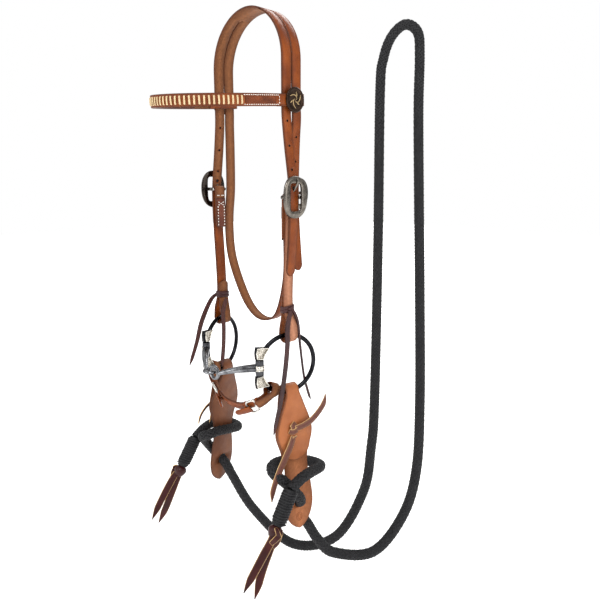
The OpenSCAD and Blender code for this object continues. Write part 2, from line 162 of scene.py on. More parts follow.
# ---- meshes ----
def build(name, verts, faces, mat, body, node=(), attrs=None, smooth=True):
    mesh = bpy.data.meshes.new(name)
    mesh.from_pydata((np.array(verts, float) * MM).tolist(), [], faces)
    for key, values in (attrs or {}).items():
        layer = mesh.attributes.new(key, "FLOAT", "POINT")
        layer.data.foreach_set("value", np.array(values, np.float32))
    bm = bmesh.new()
    bm.from_mesh(mesh)
    bmesh.ops.recalc_face_normals(bm, faces=bm.faces)
    bm.to_mesh(mesh)
    bm.free()
    mesh.polygons.foreach_set("use_smooth", [smooth] * len(mesh.polygons))
    mesh.materials.append(mat)
    obj = bpy.data.objects.new(name, mesh)
    bpy.context.scene.collection.objects.link(obj)
    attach(obj, body)
    if node:
        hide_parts(*([node] if isinstance(node, str) else node))
    return obj


class Soup:
    """Several shells gathered into one piece."""

    def __init__(self):
        self.verts, self.faces, self.attrs = [], [], {"rim": [], "flesh": []}

    def add(self, verts, faces, rim=None, flesh=None):
        start = len(self.verts)
        self.verts += [list(v) for v in verts]
        self.faces += [[i + start for i in f] for f in faces]
        self.attrs["rim"] += list(rim) if rim is not None else [0.0] * len(verts)
        self.attrs["flesh"] += list(flesh) if flesh is not None else [0.0] * len(verts)

    def build(self, name, mat, body, node=(), place=None):
        verts = self.verts if place is None else place(np.array(self.verts))
        return build(name, verts, self.faces, mat, body, node, self.attrs)


def strap_shell(p, across, width, t, crease=True, plain_start=False, plain_ends=False):
    """A leather strap: burnished bevelled edges and a creased line along each edge of the grain side."""
    n = len(p)
    hw = np.broadcast_to(np.array(width, float) / 2, (n,))
    tan = tangents(p)
    across = unit(across - np.sum(across * tan, 1, keepdims=True) * tan)
    up = np.cross(across, tan)
    edge = np.minimum(0.30 * t, hw * 0.4)
    g = np.minimum(2.3, hw * 0.36)
    dip = 0.32 if crease else 0.0
    zero = np.zeros(n)
    half = t / 2
    rows = [(-hw, -half + edge, 1, 0), (-hw, half - edge, 1, 0), (-hw + edge, half + zero, 0.8, 0),
            (-hw + g - 0.45, half + zero, 0.1, 0), (-hw + g, half - dip + zero, 0.9, 0),
            (-hw + g + 0.45, half + zero, 0, 0), (zero, half + 0.12 + zero, 0, 0),
            (hw - g - 0.45, half + zero, 0, 0), (hw - g, half - dip + zero, 0.9, 0),
            (hw - g + 0.45, half + zero, 0.1, 0), (hw - edge, half + zero, 0.8, 0),
            (hw, half - edge, 1, 0), (hw, -half + edge, 1, 0), (hw - edge, -half + zero, 0.7, 1),
            (zero, -half + zero, 0, 1), (-hw + edge, -half + zero, 0.7, 1)]
    m = len(rows)
    verts = np.zeros((n, m, 3))
    for k, (a, b, _, _) in enumerate(rows):
        verts[:, k] = p + across * np.asarray(a)[:, None] + up * np.broadcast_to(b, (n,))[:, None]
    faces = [[i * m + k, i * m + (k + 1) % m, (i + 1) * m + (k + 1) % m, (i + 1) * m + k]
             for i in range(n - 1) for k in range(m)]
    for e, ring in ((0, list(range(m))), (n - 1, [(n - 1) * m + k for k in range(m)])):
        faces.append(ring)
    edge_only = [1, 1, 0.15, 0, 0, 0, 0, 0, 0, 0, 0.15, 1, 1, 0.1, 0, 0.1]
    rim = np.tile([r[2] for r in rows] if crease else edge_only, n).astype(float)
    if not (plain_start or plain_ends):
        rim[:m] = 1
    if not plain_ends:
        rim[-m:] = 1
    flesh = np.tile([r[3] for r in rows], n)
    return verts.reshape(-1, 3), faces, rim, flesh


def tip(p, width, start=None, end=None, length=1.0):
    """Strap widths with a rounded or pointed end: start and end are 'round' or 'point'."""
    run = length_along(p)
    w = np.broadcast_to(np.array(width, float), (len(p),)).copy()
    for kind, d in ((start, run), (end, run[-1] - run)):
        if kind == "round":
            reach = w / 2 * length
            x = np.clip(d / reach, 0.0, 1)
            w = w * np.sqrt(np.clip(1 - (1 - x) ** 2, 0.01, 1))
        if kind == "point":
            reach = w * 1.5 * length
            x = np.clip(d / reach, 0, 1)
            w = w * np.clip(x ** 0.7, 0.06, 1)
    return w


def ending(p, step=3.0, fine=0.5, reach=14.0):
    """Even points, closer together near both ends."""
    q = even(p, fine)
    run = length_along(q)
    near_end = np.minimum(run, run[-1] - run) < reach
    keep = near_end | (np.arange(len(q)) % max(1, int(step / fine)) == 0)
    keep[0] = keep[-1] = True
    return q[keep]


def tube_shell(p, r, sides=12, start=(0, 0, 1), squash=1.0, closed=False):
    p = np.array(p, float)
    n = len(p)
    t = tangents(p)
    a = carried(p, start)
    b = np.cross(t, a)
    ang = np.arange(sides) * 2 * math.pi / sides
    rr = np.broadcast_to(np.array(r, float), (n,))
    verts = (p[:, None] + rr[:, None, None] * (np.cos(ang)[None, :, None] * a[:, None]
             + squash * np.sin(ang)[None, :, None] * b[:, None]))
    last = n if closed else n - 1
    faces = [[i * sides + k, i * sides + (k + 1) % sides, (i + 1) % n * sides + (k + 1) % sides,
              (i + 1) % n * sides + k] for i in range(last) for k in range(sides)]
    if not closed:
        faces += [list(range(sides)), [(n - 1) * sides + k for k in range(sides)]]
    return verts.reshape(-1, 3), faces


def stitch_shells(soup, p, up, pitch=3.4, length=2.5, r=0.42, lift=0.18):
    """A row of thread stitches lying on a surface."""
    run = length_along(p)
    count = max(1, int(run[-1] // pitch))
    profile = [(-0.5, 0.35), (-0.36, 0.9), (0, 1.05), (0.36, 0.9), (0.5, 0.35)]
    for i in range(count):
        s = (i + 0.5) * run[-1] / count
        c = np.array([np.interp(s, run, p[:, k]) for k in range(3)])
        c2 = np.array([np.interp(s + 0.5, run, p[:, k]) for k in range(3)])
        n = unit(np.array([np.interp(s, run, up[:, k]) for k in range(3)]))
        d = unit(c2 - c) if np.linalg.norm(c2 - c) > 1e-6 else unit(p[-1] - p[-2])
        side = np.cross(d, n)
        c = c + n * lift
        ring = [(math.cos(k * math.pi / 3), math.sin(k * math.pi / 3)) for k in range(6)]
        verts = [c + d * a * length + r * f * (side * x + n * y) for a, f in profile for x, y in ring]
        faces = [[j * 6 + k, j * 6 + (k + 1) % 6, (j + 1) * 6 + (k + 1) % 6, (j + 1) * 6 + k]
                 for j in range(4) for k in range(6)]
        faces += [list(range(6)), [24 + k for k in range(6)]]
        soup.add(verts, faces)


def drill(obj, holes, through=False):
    """Cuts round holes: each is (centre, axis, radius, depth) in millimetres. The cut walls are painted
    near black as shade, and a thin skin of that painted shade stays half way down unless the hole goes through."""
    bm = bmesh.new()
    for centre, axis, r, depth in holes:
        long = depth if through else depth / 2 - 0.3
        turn = Vector(axis).to_track_quat("Z", "Y")
        for way in (0,) if through else (-1, 1):
            made = bmesh.ops.create_cone(bm, segments=24, radius1=r * MM, radius2=r * MM, depth=long * MM, cap_ends=True)
            for v in made["verts"]:
                v.co.z += way * (0.3 + long / 2) * MM
                v.co = turn @ v.co + Vector(centre) * MM
    mesh = bpy.data.meshes.new("cutter")
    bm.to_mesh(mesh)
    bm.free()
    mesh.materials.append(HOLE_SHADE)
    cutter = bpy.data.objects.new("cutter", mesh)
    bpy.context.scene.collection.objects.link(cutter)
    mod = obj.modifiers.new("holes", "BOOLEAN")
    mod.operation = "DIFFERENCE"
    mod.solver = "EXACT"
    mod.material_mode = "TRANSFER"
    mod.object = cutter
    bpy.context.view_layer.update()
    result = bpy.data.meshes.new_from_object(obj.evaluated_get(bpy.context.evaluated_depsgraph_get()))
    obj.modifiers.clear()
    obj.data = result
    bpy.data.objects.remove(cutter)


# ---- materials ----
def rgb(r, g, b):
    """An sRGB colour, 0 to 255, as linear RGBA."""
    return [((c / 255 + 0.055) / 1.055) ** 2.4 if c > 10 else c / 255 / 12.92 for c in (r, g, b)] + [1]


class Nodes:
    def __init__(self, name):
        self.mat = bpy.data.materials.new(name)
        self.mat.use_nodes = True
        self.tree = self.mat.node_tree
        self.bsdf = self.tree.nodes["Principled BSDF"]
        self.coord = self.tree.nodes.new("ShaderNodeTexCoord").outputs["Object"]

    def node(self, kind, **inputs):
        n = self.tree.nodes.new("ShaderNode" + kind)
        for key, value in inputs.items():
            socket = n.inputs[int(key[1:])] if key[0] == "_" and key[1:].isdigit() else n.inputs[key.replace("_", " ")]
            if hasattr(value, "links"):
                self.tree.links.new(value, socket)
            else:
                socket.default_value = value
        return n

    def scaled(self, scale, stretch=(1, 1, 1)):
        return self.node("Mapping", Vector=self.coord, Scale=tuple(s * scale for s in stretch)).outputs[0]

    def noise(self, scale, detail=3.0, stretch=(1, 1, 1)):
        return self.node("TexNoise", Vector=self.scaled(scale, stretch), Scale=1.0, Detail=detail).outputs["Fac"]

    def cells(self, scale):
        return self.node("TexVoronoi", Vector=self.scaled(scale), Scale=1.0).outputs["Distance"]

    def ramp(self, value, low, high, a=0.0, b=1.0):
        return self.node("MapRange", Value=value, From_Min=low, From_Max=high, To_Min=a, To_Max=b).outputs[0]

    def mix(self, fac, a, b):
        n = self.tree.nodes.new("ShaderNodeMix")
        n.data_type = "RGBA"
        for socket, value in ((n.inputs[0], fac), (n.inputs[6], a), (n.inputs[7], b)):
            if hasattr(value, "links"):
                self.tree.links.new(value, socket)
            else:
                socket.default_value = value
        return n.outputs[2]

    def attribute(self, name):
        n = self.tree.nodes.new("ShaderNodeAttribute")
        n.attribute_name = name
        return n.outputs["Fac"]

    def math(self, op, a, b=0.0):
        n = self.tree.nodes.new("ShaderNodeMath")
        n.operation = op
        for socket, value in ((n.inputs[0], a), (n.inputs[1], b)):
            if hasattr(value, "links"):
                self.tree.links.new(value, socket)
            else:
                socket.default_value = value
        return n.outputs[0]

    def finish(self, colour, rough, height=None, depth=0.0002, strength=0.5, **values):
        link = self.tree.links.new
        for key, value in (("Base Color", colour), ("Roughness", rough)):
            if hasattr(value, "links"):
                link(value, self.bsdf.inputs[key])
            else:
                self.bsdf.inputs[key].default_value = value
        if height is not None:
            bump = self.node("Bump", Height=height, Strength=strength, Distance=depth)
            link(bump.outputs[0], self.bsdf.inputs["Normal"])
        for key, value in values.items():
            self.bsdf.inputs[key.replace("_", " ")].default_value = value
        return self.mat


def leather(name, base, dark, edge, flesh, rough=0.42, grain=900.0, coat=0.03):
    m = Nodes(name)
    blotch = m.ramp(m.noise(38, 4), 0.35, 0.68)
    fine = m.ramp(m.noise(420, 3), 0.3, 0.7)
    colour = m.mix(blotch, dark, base)
    colour = m.mix(m.math("MULTIPLY", fine, 0.30), colour, dark)
    back = m.mix(m.ramp(m.noise(260, 5), 0.3, 0.7), flesh, [c * 0.72 for c in flesh[:3]] + [1])
    colour = m.mix(m.attribute("flesh"), colour, back)
    colour = m.mix(m.math("MULTIPLY", m.attribute("rim"), 0.82), colour, edge)
    pores = m.math("MULTIPLY", m.cells(grain), 0.6)
    height = m.math("ADD", pores, m.math("MULTIPLY", m.noise(110, 4), 0.8))
    roughness = m.math("ADD", m.ramp(m.noise(90, 3), 0.3, 0.7, rough - 0.08, rough + 0.1),
                       m.math("MULTIPLY", m.attribute("flesh"), 0.3))
    return m.finish(colour, roughness, height, 0.00035, 0.55, Coat_Weight=coat, Coat_Roughness=0.35,
                    Specular_IOR_Level=0.2)


def metal(name, bright, dark, rough=0.28, patina=0.5, scratch=500.0, engraved=0.0):
    m = Nodes(name)
    tarnish = m.ramp(m.noise(150, 5), 0.35, 0.7)
    colour = m.mix(m.math("MULTIPLY", tarnish, patina), bright, dark)
    colour = m.mix(m.math("MULTIPLY", m.attribute("rim"), 0.85), colour, dark)
    height = m.noise(scratch, 4, (1, 1, 0.15))
    if engraved:
        pattern = m.node("TexVoronoi", Vector=m.scaled(engraved), Scale=1.0)
        pattern.feature = "DISTANCE_TO_EDGE"
        lines = m.ramp(pattern.outputs["Distance"], 0.02, 0.12)
        colour = m.mix(lines, dark, colour)
        height = m.math("ADD", m.math("MULTIPLY", height, 0.15), lines)
    roughness = m.ramp(m.noise(260, 4), 0.3, 0.7, rough - 0.07, rough + 0.14)
    return m.finish(colour, roughness, height, 0.00012, 0.35, Metallic=1.0)


def cord(name, base, light, rough=0.62):
    m = Nodes(name)
    fibre_and_highlight_noise = m.noise(1500, 3, (1, 1, 0.4))
    # painted highlight: the lighter colour this noise lays on is partly fibre texture and partly a painted highlight
    # along the braid
    colour = m.mix(m.ramp(fibre_and_highlight_noise, 0.45, 0.8), base, light)
    height = m.math("ADD", fibre_and_highlight_noise, m.math("MULTIPLY", m.noise(500, 2), 0.5))
    return m.finish(colour, m.ramp(m.noise(70, 2), 0.3, 0.7, rough - 0.08, rough + 0.1), height, 0.0003, 0.7,
                    Specular_IOR_Level=0.3)


def tooled(name, base, dark):
    """Leather stamped in a small basket weave."""
    m = Nodes(name)
    checks = m.node("TexChecker", Vector=m.scaled(1, (1, 1, 1)), Scale=480.0).outputs["Fac"]
    weave = m.math("ADD", m.math("MULTIPLY", checks, 0.7), m.math("MULTIPLY", m.noise(520, 2), 0.5))
    colour = m.mix(m.ramp(m.noise(60, 4), 0.3, 0.7), dark, base)
    colour = m.mix(m.math("MULTIPLY", checks, 0.25), colour, dark)
    colour = m.mix(m.math("MULTIPLY", m.attribute("rim"), 0.7), colour, dark)
    return m.finish(colour, 0.55, weave, 0.0005, 0.8, Specular_IOR_Level=0.2)


RUSSET = leather("russet_leather", rgb(136, 66, 16), rgb(102, 44, 8), rgb(62, 30, 14), rgb(138, 87, 52))
SADDLE = leather("skirting_leather", rgb(170, 103, 61), rgb(150, 87, 50), rgb(86, 47, 27), rgb(176, 110, 70), rough=0.46)
DARKLEATHER = leather("dark_chape_leather", rgb(112, 62, 44), rgb(82, 42, 30), rgb(58, 30, 22), rgb(96, 56, 42))
LATIGO = leather("latigo_leather", rgb(68, 38, 37), rgb(46, 25, 26), rgb(40, 21, 21), rgb(82, 50, 46), rough=0.4,
                 coat=0.08)
LATIGO_CUT = leather("latigo_cut_edges", rgb(68, 24, 22), rgb(46, 15, 15), rgb(232, 190, 128), rgb(98, 56, 50),
                     rough=0.38, coat=0.1)
SADDLE_DARK = leather("shaded_skirting_leather", rgb(122, 75, 48), rgb(96, 56, 35), rgb(74, 42, 26), rgb(150, 98, 66),
                      rough=0.5)
# painted shade: near-black leather for the punched holes' walls and the skin left inside them, standing in for the
# shade in the holes
HOLE_SHADE = leather("painted_hole_shade", rgb(46, 28, 20), rgb(34, 20, 14), rgb(30, 18, 12), rgb(40, 24, 18))
CHEEK_LEATHER = leather("cheek_leather", rgb(150, 88, 50), rgb(124, 68, 38), rgb(84, 44, 26), rgb(186, 128, 98))
PANEL = tooled("tooled_leather", rgb(122, 60, 28), rgb(70, 32, 15))
RAWHIDE = leather("laced_rawhide", rgb(240, 226, 188), rgb(214, 190, 142), rgb(190, 160, 112), rgb(214, 190, 150),
                  rough=0.5, grain=1400.0)
THREAD = cord("white_thread", rgb(226, 220, 210), rgb(250, 248, 242), 0.7)
# painted highlight: the lighter colour of the black braid mostly stands in for its highlights
BLACK_CORD = cord("braided_cord", rgb(9, 9, 10), rgb(56, 56, 60))
BLACK_STEEL = metal("blued_steel", rgb(36, 36, 39), rgb(14, 14, 16), 0.15, 0.5)
STEEL = metal("mouthpiece_steel", rgb(136, 137, 140), rgb(34, 34, 38), 0.17, 0.75)
SILVER = metal("engraved_silver", rgb(214, 208, 196), rgb(96, 88, 76), 0.3, 0.5, engraved=420.0)
SILVER_RIM = metal("silver_border", rgb(226, 222, 212), rgb(130, 122, 108), 0.26, 0.4)
NICKEL = metal("polished_nickel", rgb(216, 214, 208), rgb(140, 136, 128), 0.18, 0.4)
ANTIQUE = metal("aged_nickel", rgb(122, 116, 108), rgb(56, 50, 46), 0.22, 0.6)
BRONZE_DARK = metal("blackened_bronze", rgb(62, 48, 40), rgb(26, 20, 18), 0.35, 0.6)
BRONZE = metal("rubbed_bronze", rgb(176, 152, 112), rgb(104, 86, 62), 0.34, 0.5)


# ---- lines of the hanging straps ----
LEG_TOP = 66.0


def arch_points(a0, a1, n=20):
    return [[ARCH_R * math.cos(math.radians(a)), ARCH_R * math.sin(math.radians(a))] for a in np.linspace(a0, a1, n)]


def hang_line(low_points):
    """Arch edge, straight leg, then the points below the split, in X and Z."""
    top = arch_points(LEG_TOP, 4, 16)
    leg = [[ARCH_R, 0], [ARCH_R, -32]]
    return np.vstack([top, leg, curve([[ARCH_R, -64], [ARCH_R + 0.6, -80]] + low_points)])


CHEEK_LINE = hang_line([[ARCH_R + 5, -117], [ARCH_R + 14, -182], [ARCH_R + 13, -240], [ARCH_R + 7, -BILLET_Z]])
REAR_NEAR = hang_line([[ARCH_R - 2, -117], [ARCH_R - 4, THROAT_BAR[2]], [ARCH_R - 2, -230], [ARCH_R + 4, -THROAT_TIP_Z]])
REAR_FAR = hang_line([[ARCH_R + 0.5, -117], [ARCH_R + 1.8, -178], [ARCH_R + 8, -232], [ARCH_R + 2, -290],
                      [ARCH_R - 28, -349], [20, THROAT_LOW + 6], [-10, THROAT_LOW], [-38, THROAT_LOW + 16],
                      [-56, -308], [7.2 - THROAT_BAR[0], -236], [3.8 - THROAT_BAR[0], THROAT_BAR[2] - 14],
                      [3.8 - THROAT_BAR[0], THROAT_BAR[2]]])


def line_x(line, z):
    order = np.argsort(line[:, 1])
    return float(np.interp(z, line[order, 1], line[order, 0]))


def standing(xz, y):
    """X-Z points put at a depth y."""
    xz = np.array(xz, float)
    return np.stack([xz[:, 0], np.full(len(xz), float(y)), xz[:, 1]], 1)


def fold_arc(cx, cz, r, a0, a1, n=14):
    return [[cx + r * math.cos(math.radians(a)), cz + r * math.sin(math.radians(a))] for a in np.linspace(a0, a1, n)]


ALONG_Y = np.array([0, 1.0, 0])


def across_y(p, sign=1):
    return np.tile(ALONG_Y * sign, (len(p), 1))


# ---- crown ----
SPLIT_Z = -64.0


def split_strap(p, half, sign, end):
    """One half of the split crown: its edge lies against the other half down to the open split."""
    share = np.clip((p[:, 2] - SPLIT_Z) / -SPLIT_Z, 0, 1)
    share[np.argmin(p[:, 2]):] = 0
    gap = 1.0 - 0.75 * share
    width = CROWN_Y - gap
    q = p.copy()
    q[:, 1] = half * (CROWN_Y - width / 2)
    return strap_shell(q, across_y(q, sign), tip(q, width, end=end, length=1.1), CROWN_T - 0.02, plain_start=True)


def make_crown():
    soup = Soup()
    band = standing(arch_points(LEG_TOP - 3, 183 - LEG_TOP, 30), 0)
    soup.add(*strap_shell(band, across_y(band), 2 * CROWN_Y, CROWN_T, plain_ends=True))
    for side in (1, -1):
        p = ending(flip(standing(CHEEK_LINE, FRONT_Y), side))
        soup.add(*split_strap(p, -1, -side, "round"))
    p = ending(standing(REAR_NEAR, REAR_Y))
    soup.add(*split_strap(p, 1, -1, "round"))
    fold = fold_arc(THROAT_BAR[0], THROAT_BAR[2], 3.8, 171, 9)
    path = np.vstack([REAR_FAR * [-1, 1], fold, [[THROAT_BAR[0] + 4.2, THROAT_BAR[2] - 34]]])
    p = even(standing(path, REAR_Y), 2.5)
    soup.add(*split_strap(p, 1, 1, None))
    crown = soup.build("crown_leather", RUSSET, "headstall", "crown")
    holes = []
    for side in (1, -1):
        holes += [([side * line_x(CHEEK_LINE, z), FRONT_Y, z], (1, 0, 0), 1.7, 12) for z in (-83, -117, -150)]
        holes.append(([side * line_x(CHEEK_LINE, BUCKLE_Z[side] + 13), FRONT_Y, BUCKLE_Z[side] + 13], (1, 0, 0), 2.6, 9))
    holes += [([line_x(REAR_NEAR, z), REAR_Y, z], (1, 0, 0), 1.7, 12) for z in (-104, -138)]
    drill(crown, holes)
    thread = Soup()
    for z in (THROAT_BAR[2] - 12, THROAT_BAR[2] - 26):
        row = np.array([[THROAT_BAR[0] + 5.9, y, z] for y in np.linspace(REAR_Y - 6, REAR_Y + 6, 6)])
        stitch_shells(thread, row, np.tile([1.0, 0, 0], (6, 1)))
    thread.build("throat_stitches", THREAD, "headstall")


# ---- browband ----
def brow_arc(a, x, y):
    c, s = math.cos(math.radians(a)), math.sin(math.radians(a))
    return [x * math.copysign(abs(c) ** 0.9, c), -24 - (y - 24) * max(s, 0) ** 0.9]


def at_brow(points):
    """The browband rises to its far end and droops to its front, about the near concho."""
    pivot = np.array([CONCHO_X, 0, BROW_Z])
    q = points - pivot
    cp, sp = math.cos(math.radians(BROW_PITCH)), math.sin(math.radians(BROW_PITCH))
    cr, sr = math.cos(math.radians(BROW_ROLL)), math.sin(math.radians(BROW_ROLL))
    y = q[:, 1] * cp - q[:, 2] * sp
    z = q[:, 1] * sp + q[:, 2] * cp
    return pivot + np.stack([q[:, 0] * cr + z * sr, y, -q[:, 0] * sr + z * cr], 1)


def brow_points(grow, a0, a1, n=120, z=0.0):
    p = np.array([brow_arc(a, OUT_X + grow, BROW_FRONT + grow) for a in np.linspace(a0, a1, n)])
    return np.stack([p[:, 0], p[:, 1], np.full(n, BROW_Z + z)], 1)


def flat_path(xy):
    xy = np.array(xy, float)
    return np.stack([xy[:, 0], xy[:, 1], np.full(len(xy), BROW_Z)], 1)


def upright(p, sign=1):
    return np.tile([0, 0, float(sign)], (len(p), 1))


def make_browband():
    inner = OUT_X - 11.0
    middle_x = (OUT_X + inner) / 2
    r = (OUT_X - inner) / 2
    back = [[middle_x + r * math.cos(math.radians(a)), 16.5 + r * math.sin(math.radians(a))]
            for a in np.linspace(180, 0, 16)]
    loop = [[OUT_X - 3.4, -27], [inner + 2, -24.6], [inner, -18], [inner, 6]] + back + [[OUT_X, 8], [OUT_X, -14]]
    front = brow_points(0, 0, 180)[:, :2]
    path = np.vstack([loop, front, (np.array(loop) * [-1, 1])[::-1]])
    p = even(flat_path(path), 2.2)
    soup = Soup()
    soup.add(*strap_shell(p, upright(p), BROW_H, 2.6))
    soup.build("browband_leather", RUSSET, "browband", "browband", at_brow)
    soup = Soup()
    p = even(brow_points(-2.5, 11, 169), 2.5)
    soup.add(*strap_shell(p, upright(p, -1), tip(p, BROW_H - 1, "round", "round", 0.5), 2.0))
    soup.build("browband_inner_leather", DARKLEATHER, "browband", "browband_lining", at_brow)


def brow_row(a_list, grow, z=0.0):
    return [np.append(brow_arc(a, OUT_X + grow, BROW_FRONT + grow), BROW_Z + z) for a in a_list]


def make_lacing():
    """Upright rawhide bars along the front, each turning in through the leather at both ends."""
    soup = Soup()
    dots = Soup()
    line = brow_points(1.35, 24.5, 90, 400)
    run = length_along(line)
    spots = [np.interp(s, run, np.linspace(24.5, 90, 400)) for s in np.linspace(0, run[-1], 20)]
    angles = sorted(set([round(a, 4) for a in spots] + [round(180 - a, 4) for a in spots]))
    height = BROW_H * 0.30
    for k, a in enumerate(angles):
        c, d = brow_row([a, a + 0.4], 1.3)
        along = unit(d - c)
        out = np.cross(along, [0, 0, 1.0])
        if np.dot(out, [c[0], c[1] + 60, 0]) < 0:
            out = -out
        lean = 0.25 * math.sin(3.1 * k)
        profile = [(-1.06, -0.9), (-1.0, 0.25), (-0.85, 0.75), (-0.4, 1.0), (0.4, 1.0), (0.85, 0.75), (1.0, 0.25), (1.06, -0.9)]
        p = np.array([c + out * 0.9 * h + np.array([0, 0, 1.0]) * v * height + along * lean * v for v, h in profile])
        p = curve(p, 3)
        soup.add(*strap_shell(p, np.tile(along, (len(p), 1)), 2.4, 0.9, crease=False))
        if 11 < a < 169:
            for v in (-1, 1):
                q = brow_row([a - 0.5, a + 0.5], -3.6, v * height)
                stitch_shells(dots, np.array(q), np.tile(-out, (2, 1)), pitch=2.0, length=2.2, r=0.7)
    soup.build("browband_rawhide", RAWHIDE, "browband", "browband_lacing", at_brow)
    dots.build("browband_rawhide_backs", RAWHIDE, "browband", (), at_brow)


def make_overlay(name, side):
    """The stamped panel between two rows of stitches."""
    p = flip(even(brow_points(1.35, 3.2, 22.4), 1.6), side)
    soup = Soup()
    soup.add(*strap_shell(p, upright(p, side), BROW_H * 0.56, 0.9, crease=False))
    soup.build(name + "_tooled_panel", PANEL, "browband", name + "_overlay", at_brow)
    thread = Soup()
    for z in (-0.36, 0.36):
        q = flip(even(brow_points(1.32, 1.4, 23.4, z=z * BROW_H), 1.0), side)
        up = np.cross(tangents(q), [0, 0, 1.0])
        up = up * np.sign(np.sum(up * (q - [0, -40, BROW_Z]), 1, keepdims=True))
        stitch_shells(thread, q, up, pitch=3.3, length=2.4, r=0.5)
    for a in (1.2,):
        c = brow_row([a], 1.32)[0] * [side, 1, 1]
        q = np.array([c + [0, 0, z] for z in np.linspace(-0.34 * BROW_H, 0.34 * BROW_H, 5)])
        stitch_shells(thread, q, np.tile([float(side), 0, 0], (5, 1)), pitch=3.3, length=2.4, r=0.5)
    thread.build(name + "_browband_stitches", THREAD, "browband", (), at_brow)


# ---- conchos ----
def make_concho(name, side):
    centre = np.array([CONCHO_X, 0, BROW_Z])
    r = CONCHO_R

    def place(points):
        """Local X right, Y up, Z out, put on the browband's outer face."""
        q = np.array(points, float)
        return np.stack([side * (centre[0] + q[:, 2]), centre[1] + side * q[:, 0], centre[2] + q[:, 1]], 1)

    rows = [(0, -3.1), (2.4, -3.1), (2.4, 0), (r - 0.6, 0), (r, 0.5), (r, 1.6), (r - 0.7, 2.4), (r - 2.2, 2.6), (r - 3.2, 2.0),
            (r - 4.0, 1.6), (r * 0.5, 2.2), (r * 0.2, 2.5), (0, 2.6)]
    n = 72
    verts = [[q * math.cos(2 * math.pi * k / n), q * math.sin(2 * math.pi * k / n), h] for q, h in rows for k in range(n)]
    faces = [[i * n + k, i * n + (k + 1) % n, (i + 1) * n + (k + 1) % n, (i + 1) * n + k]
             for i in range(len(rows) - 1) for k in range(n)]
    body = name + "_concho"
    soup = Soup()
    soup.add(place(verts), faces, rim=[0.0] * len(verts))
    soup.build(name + "_concho_dish", BRONZE_DARK, body, name + "_concho", at_brow)
    rope = Soup()
    beads = 44
    for k in range(beads):
        a = 2 * math.pi * k / beads
        c = np.array([math.cos(a), math.sin(a), 0]) * (r - 1.7)
        d = np.array([-math.sin(a), math.cos(a), 0]) * 1.15 + np.array([math.cos(a), math.sin(a), 0]) * 0.9
        p = np.array([c - d * 1.0, c - d * 0.5, c, c + d * 0.5, c + d * 1.0]) + [0, 0, 2.5]
        v, f = tube_shell(p, [0.25, 0.62, 0.75, 0.62, 0.25], 8)
        rope.add(place(v), f)
    rope.build(name + "_concho_rope_edge", BRONZE_DARK, body, (), at_brow)
    scroll = Soup()
    for turn in range(3):
        spin = 2 * math.pi * turn / 3
        t = np.linspace(0, 1, 44)
        radius = 1.0 + (r - 6.4) * t ** 0.8
        ang = spin + 3.6 * t ** 0.7 * (1 - 0.25 * t)
        curl = np.stack([radius * np.cos(ang), radius * np.sin(ang), 2.35 - 0.7 * (radius / r) ** 2], 1)
        v, f = tube_shell(curl, 0.35 + 0.55 * np.sin(math.pi * t) ** 0.7, 8)
        scroll.add(place(v), f)
        leaf_t = np.linspace(0, 1, 14)
        la = spin + 1.1
        leaf = np.stack([(5.0 + 5.6 * leaf_t) * np.cos(la + 0.35 * leaf_t), (5.0 + 5.6 * leaf_t) * np.sin(la + 0.35 * leaf_t),
                         2.3 - 0.6 * leaf_t], 1)
        v, f = tube_shell(leaf, 0.2 + 0.95 * np.sin(math.pi * leaf_t) ** 0.8, 8)
        scroll.add(place(v), f)
    scroll.build(name + "_concho_scroll", BRONZE, body, (), at_brow)


# ---- buckles ----
def superoval(w, h, power, n):
    out = []
    for k in range(n):
        a = 2 * math.pi * k / n
        c, s = math.cos(a), math.sin(a)
        out.append([w / 2 * math.copysign(abs(c) ** (2 / power), c), h / 2 * math.copysign(abs(s) ** (2 / power), s)])
    return np.array(out)


def frame_shell(outer, inner, rows, place):
    """A flat domed buckle frame between two outlines; rows are (share outwards, height)."""
    n = len(outer)
    verts = []
    for share, height in rows:
        ring = inner + (outer - inner) * share
        verts += [[a, b, height] for a, b in ring]
    m = len(rows)
    faces = [[i * n + k, i * n + (k + 1) % n, (i + 1) % m * n + (k + 1) % n, (i + 1) % m * n + k]
             for i in range(m) for k in range(n)]
    return place(np.array(verts)), faces


def make_buckle(name, node, side, x, y, z, w, h, hole_w, hole_h, post):
    n = 96

    def place(q):
        bow = 1.6 * (1 - (2 * q[:, 1] / h) ** 2)
        return np.stack([side * (x + q[:, 2] + bow), y + q[:, 0], z + q[:, 1]], 1)

    rows = [(0, -1.6), (0, 0.9), (0.05, 1.35), (0.15, 1.6), (0.5, 1.9), (0.8, 1.6), (0.94, 0.9), (1, -0.1), (1, -1.3),
            (0.9, -1.8), (0.5, -2.0), (0.1, -1.8)]
    outer = superoval(w, h, 2.3, n)
    inner = superoval(hole_w, hole_h, 6.0, n)
    soup = Soup()
    v, f = frame_shell(outer, inner, rows, place)
    rim = np.repeat([0.9, 0.5, 0.1, 0, 0, 0, 0.1, 0.5, 0.9, 1, 1, 1], n)
    soup.add(v, f, rim=rim)
    bar_x = x - BAR_IN - 5.6
    for s in (-1, 1):
        p = curve([[side * bar_x, y + s * (post + 1.5), z], [side * (bar_x + 5), y + s * (post + 1.5), z],
                   [side * (x - 1.4), y + s * (post + 0.5), z]], 5)
        v, f = tube_shell(p, 2.6, 14)
        soup.add(v, f, rim=[0.5] * len(v))
    soup.build(node + "_frame", ANTIQUE, "headstall", node)


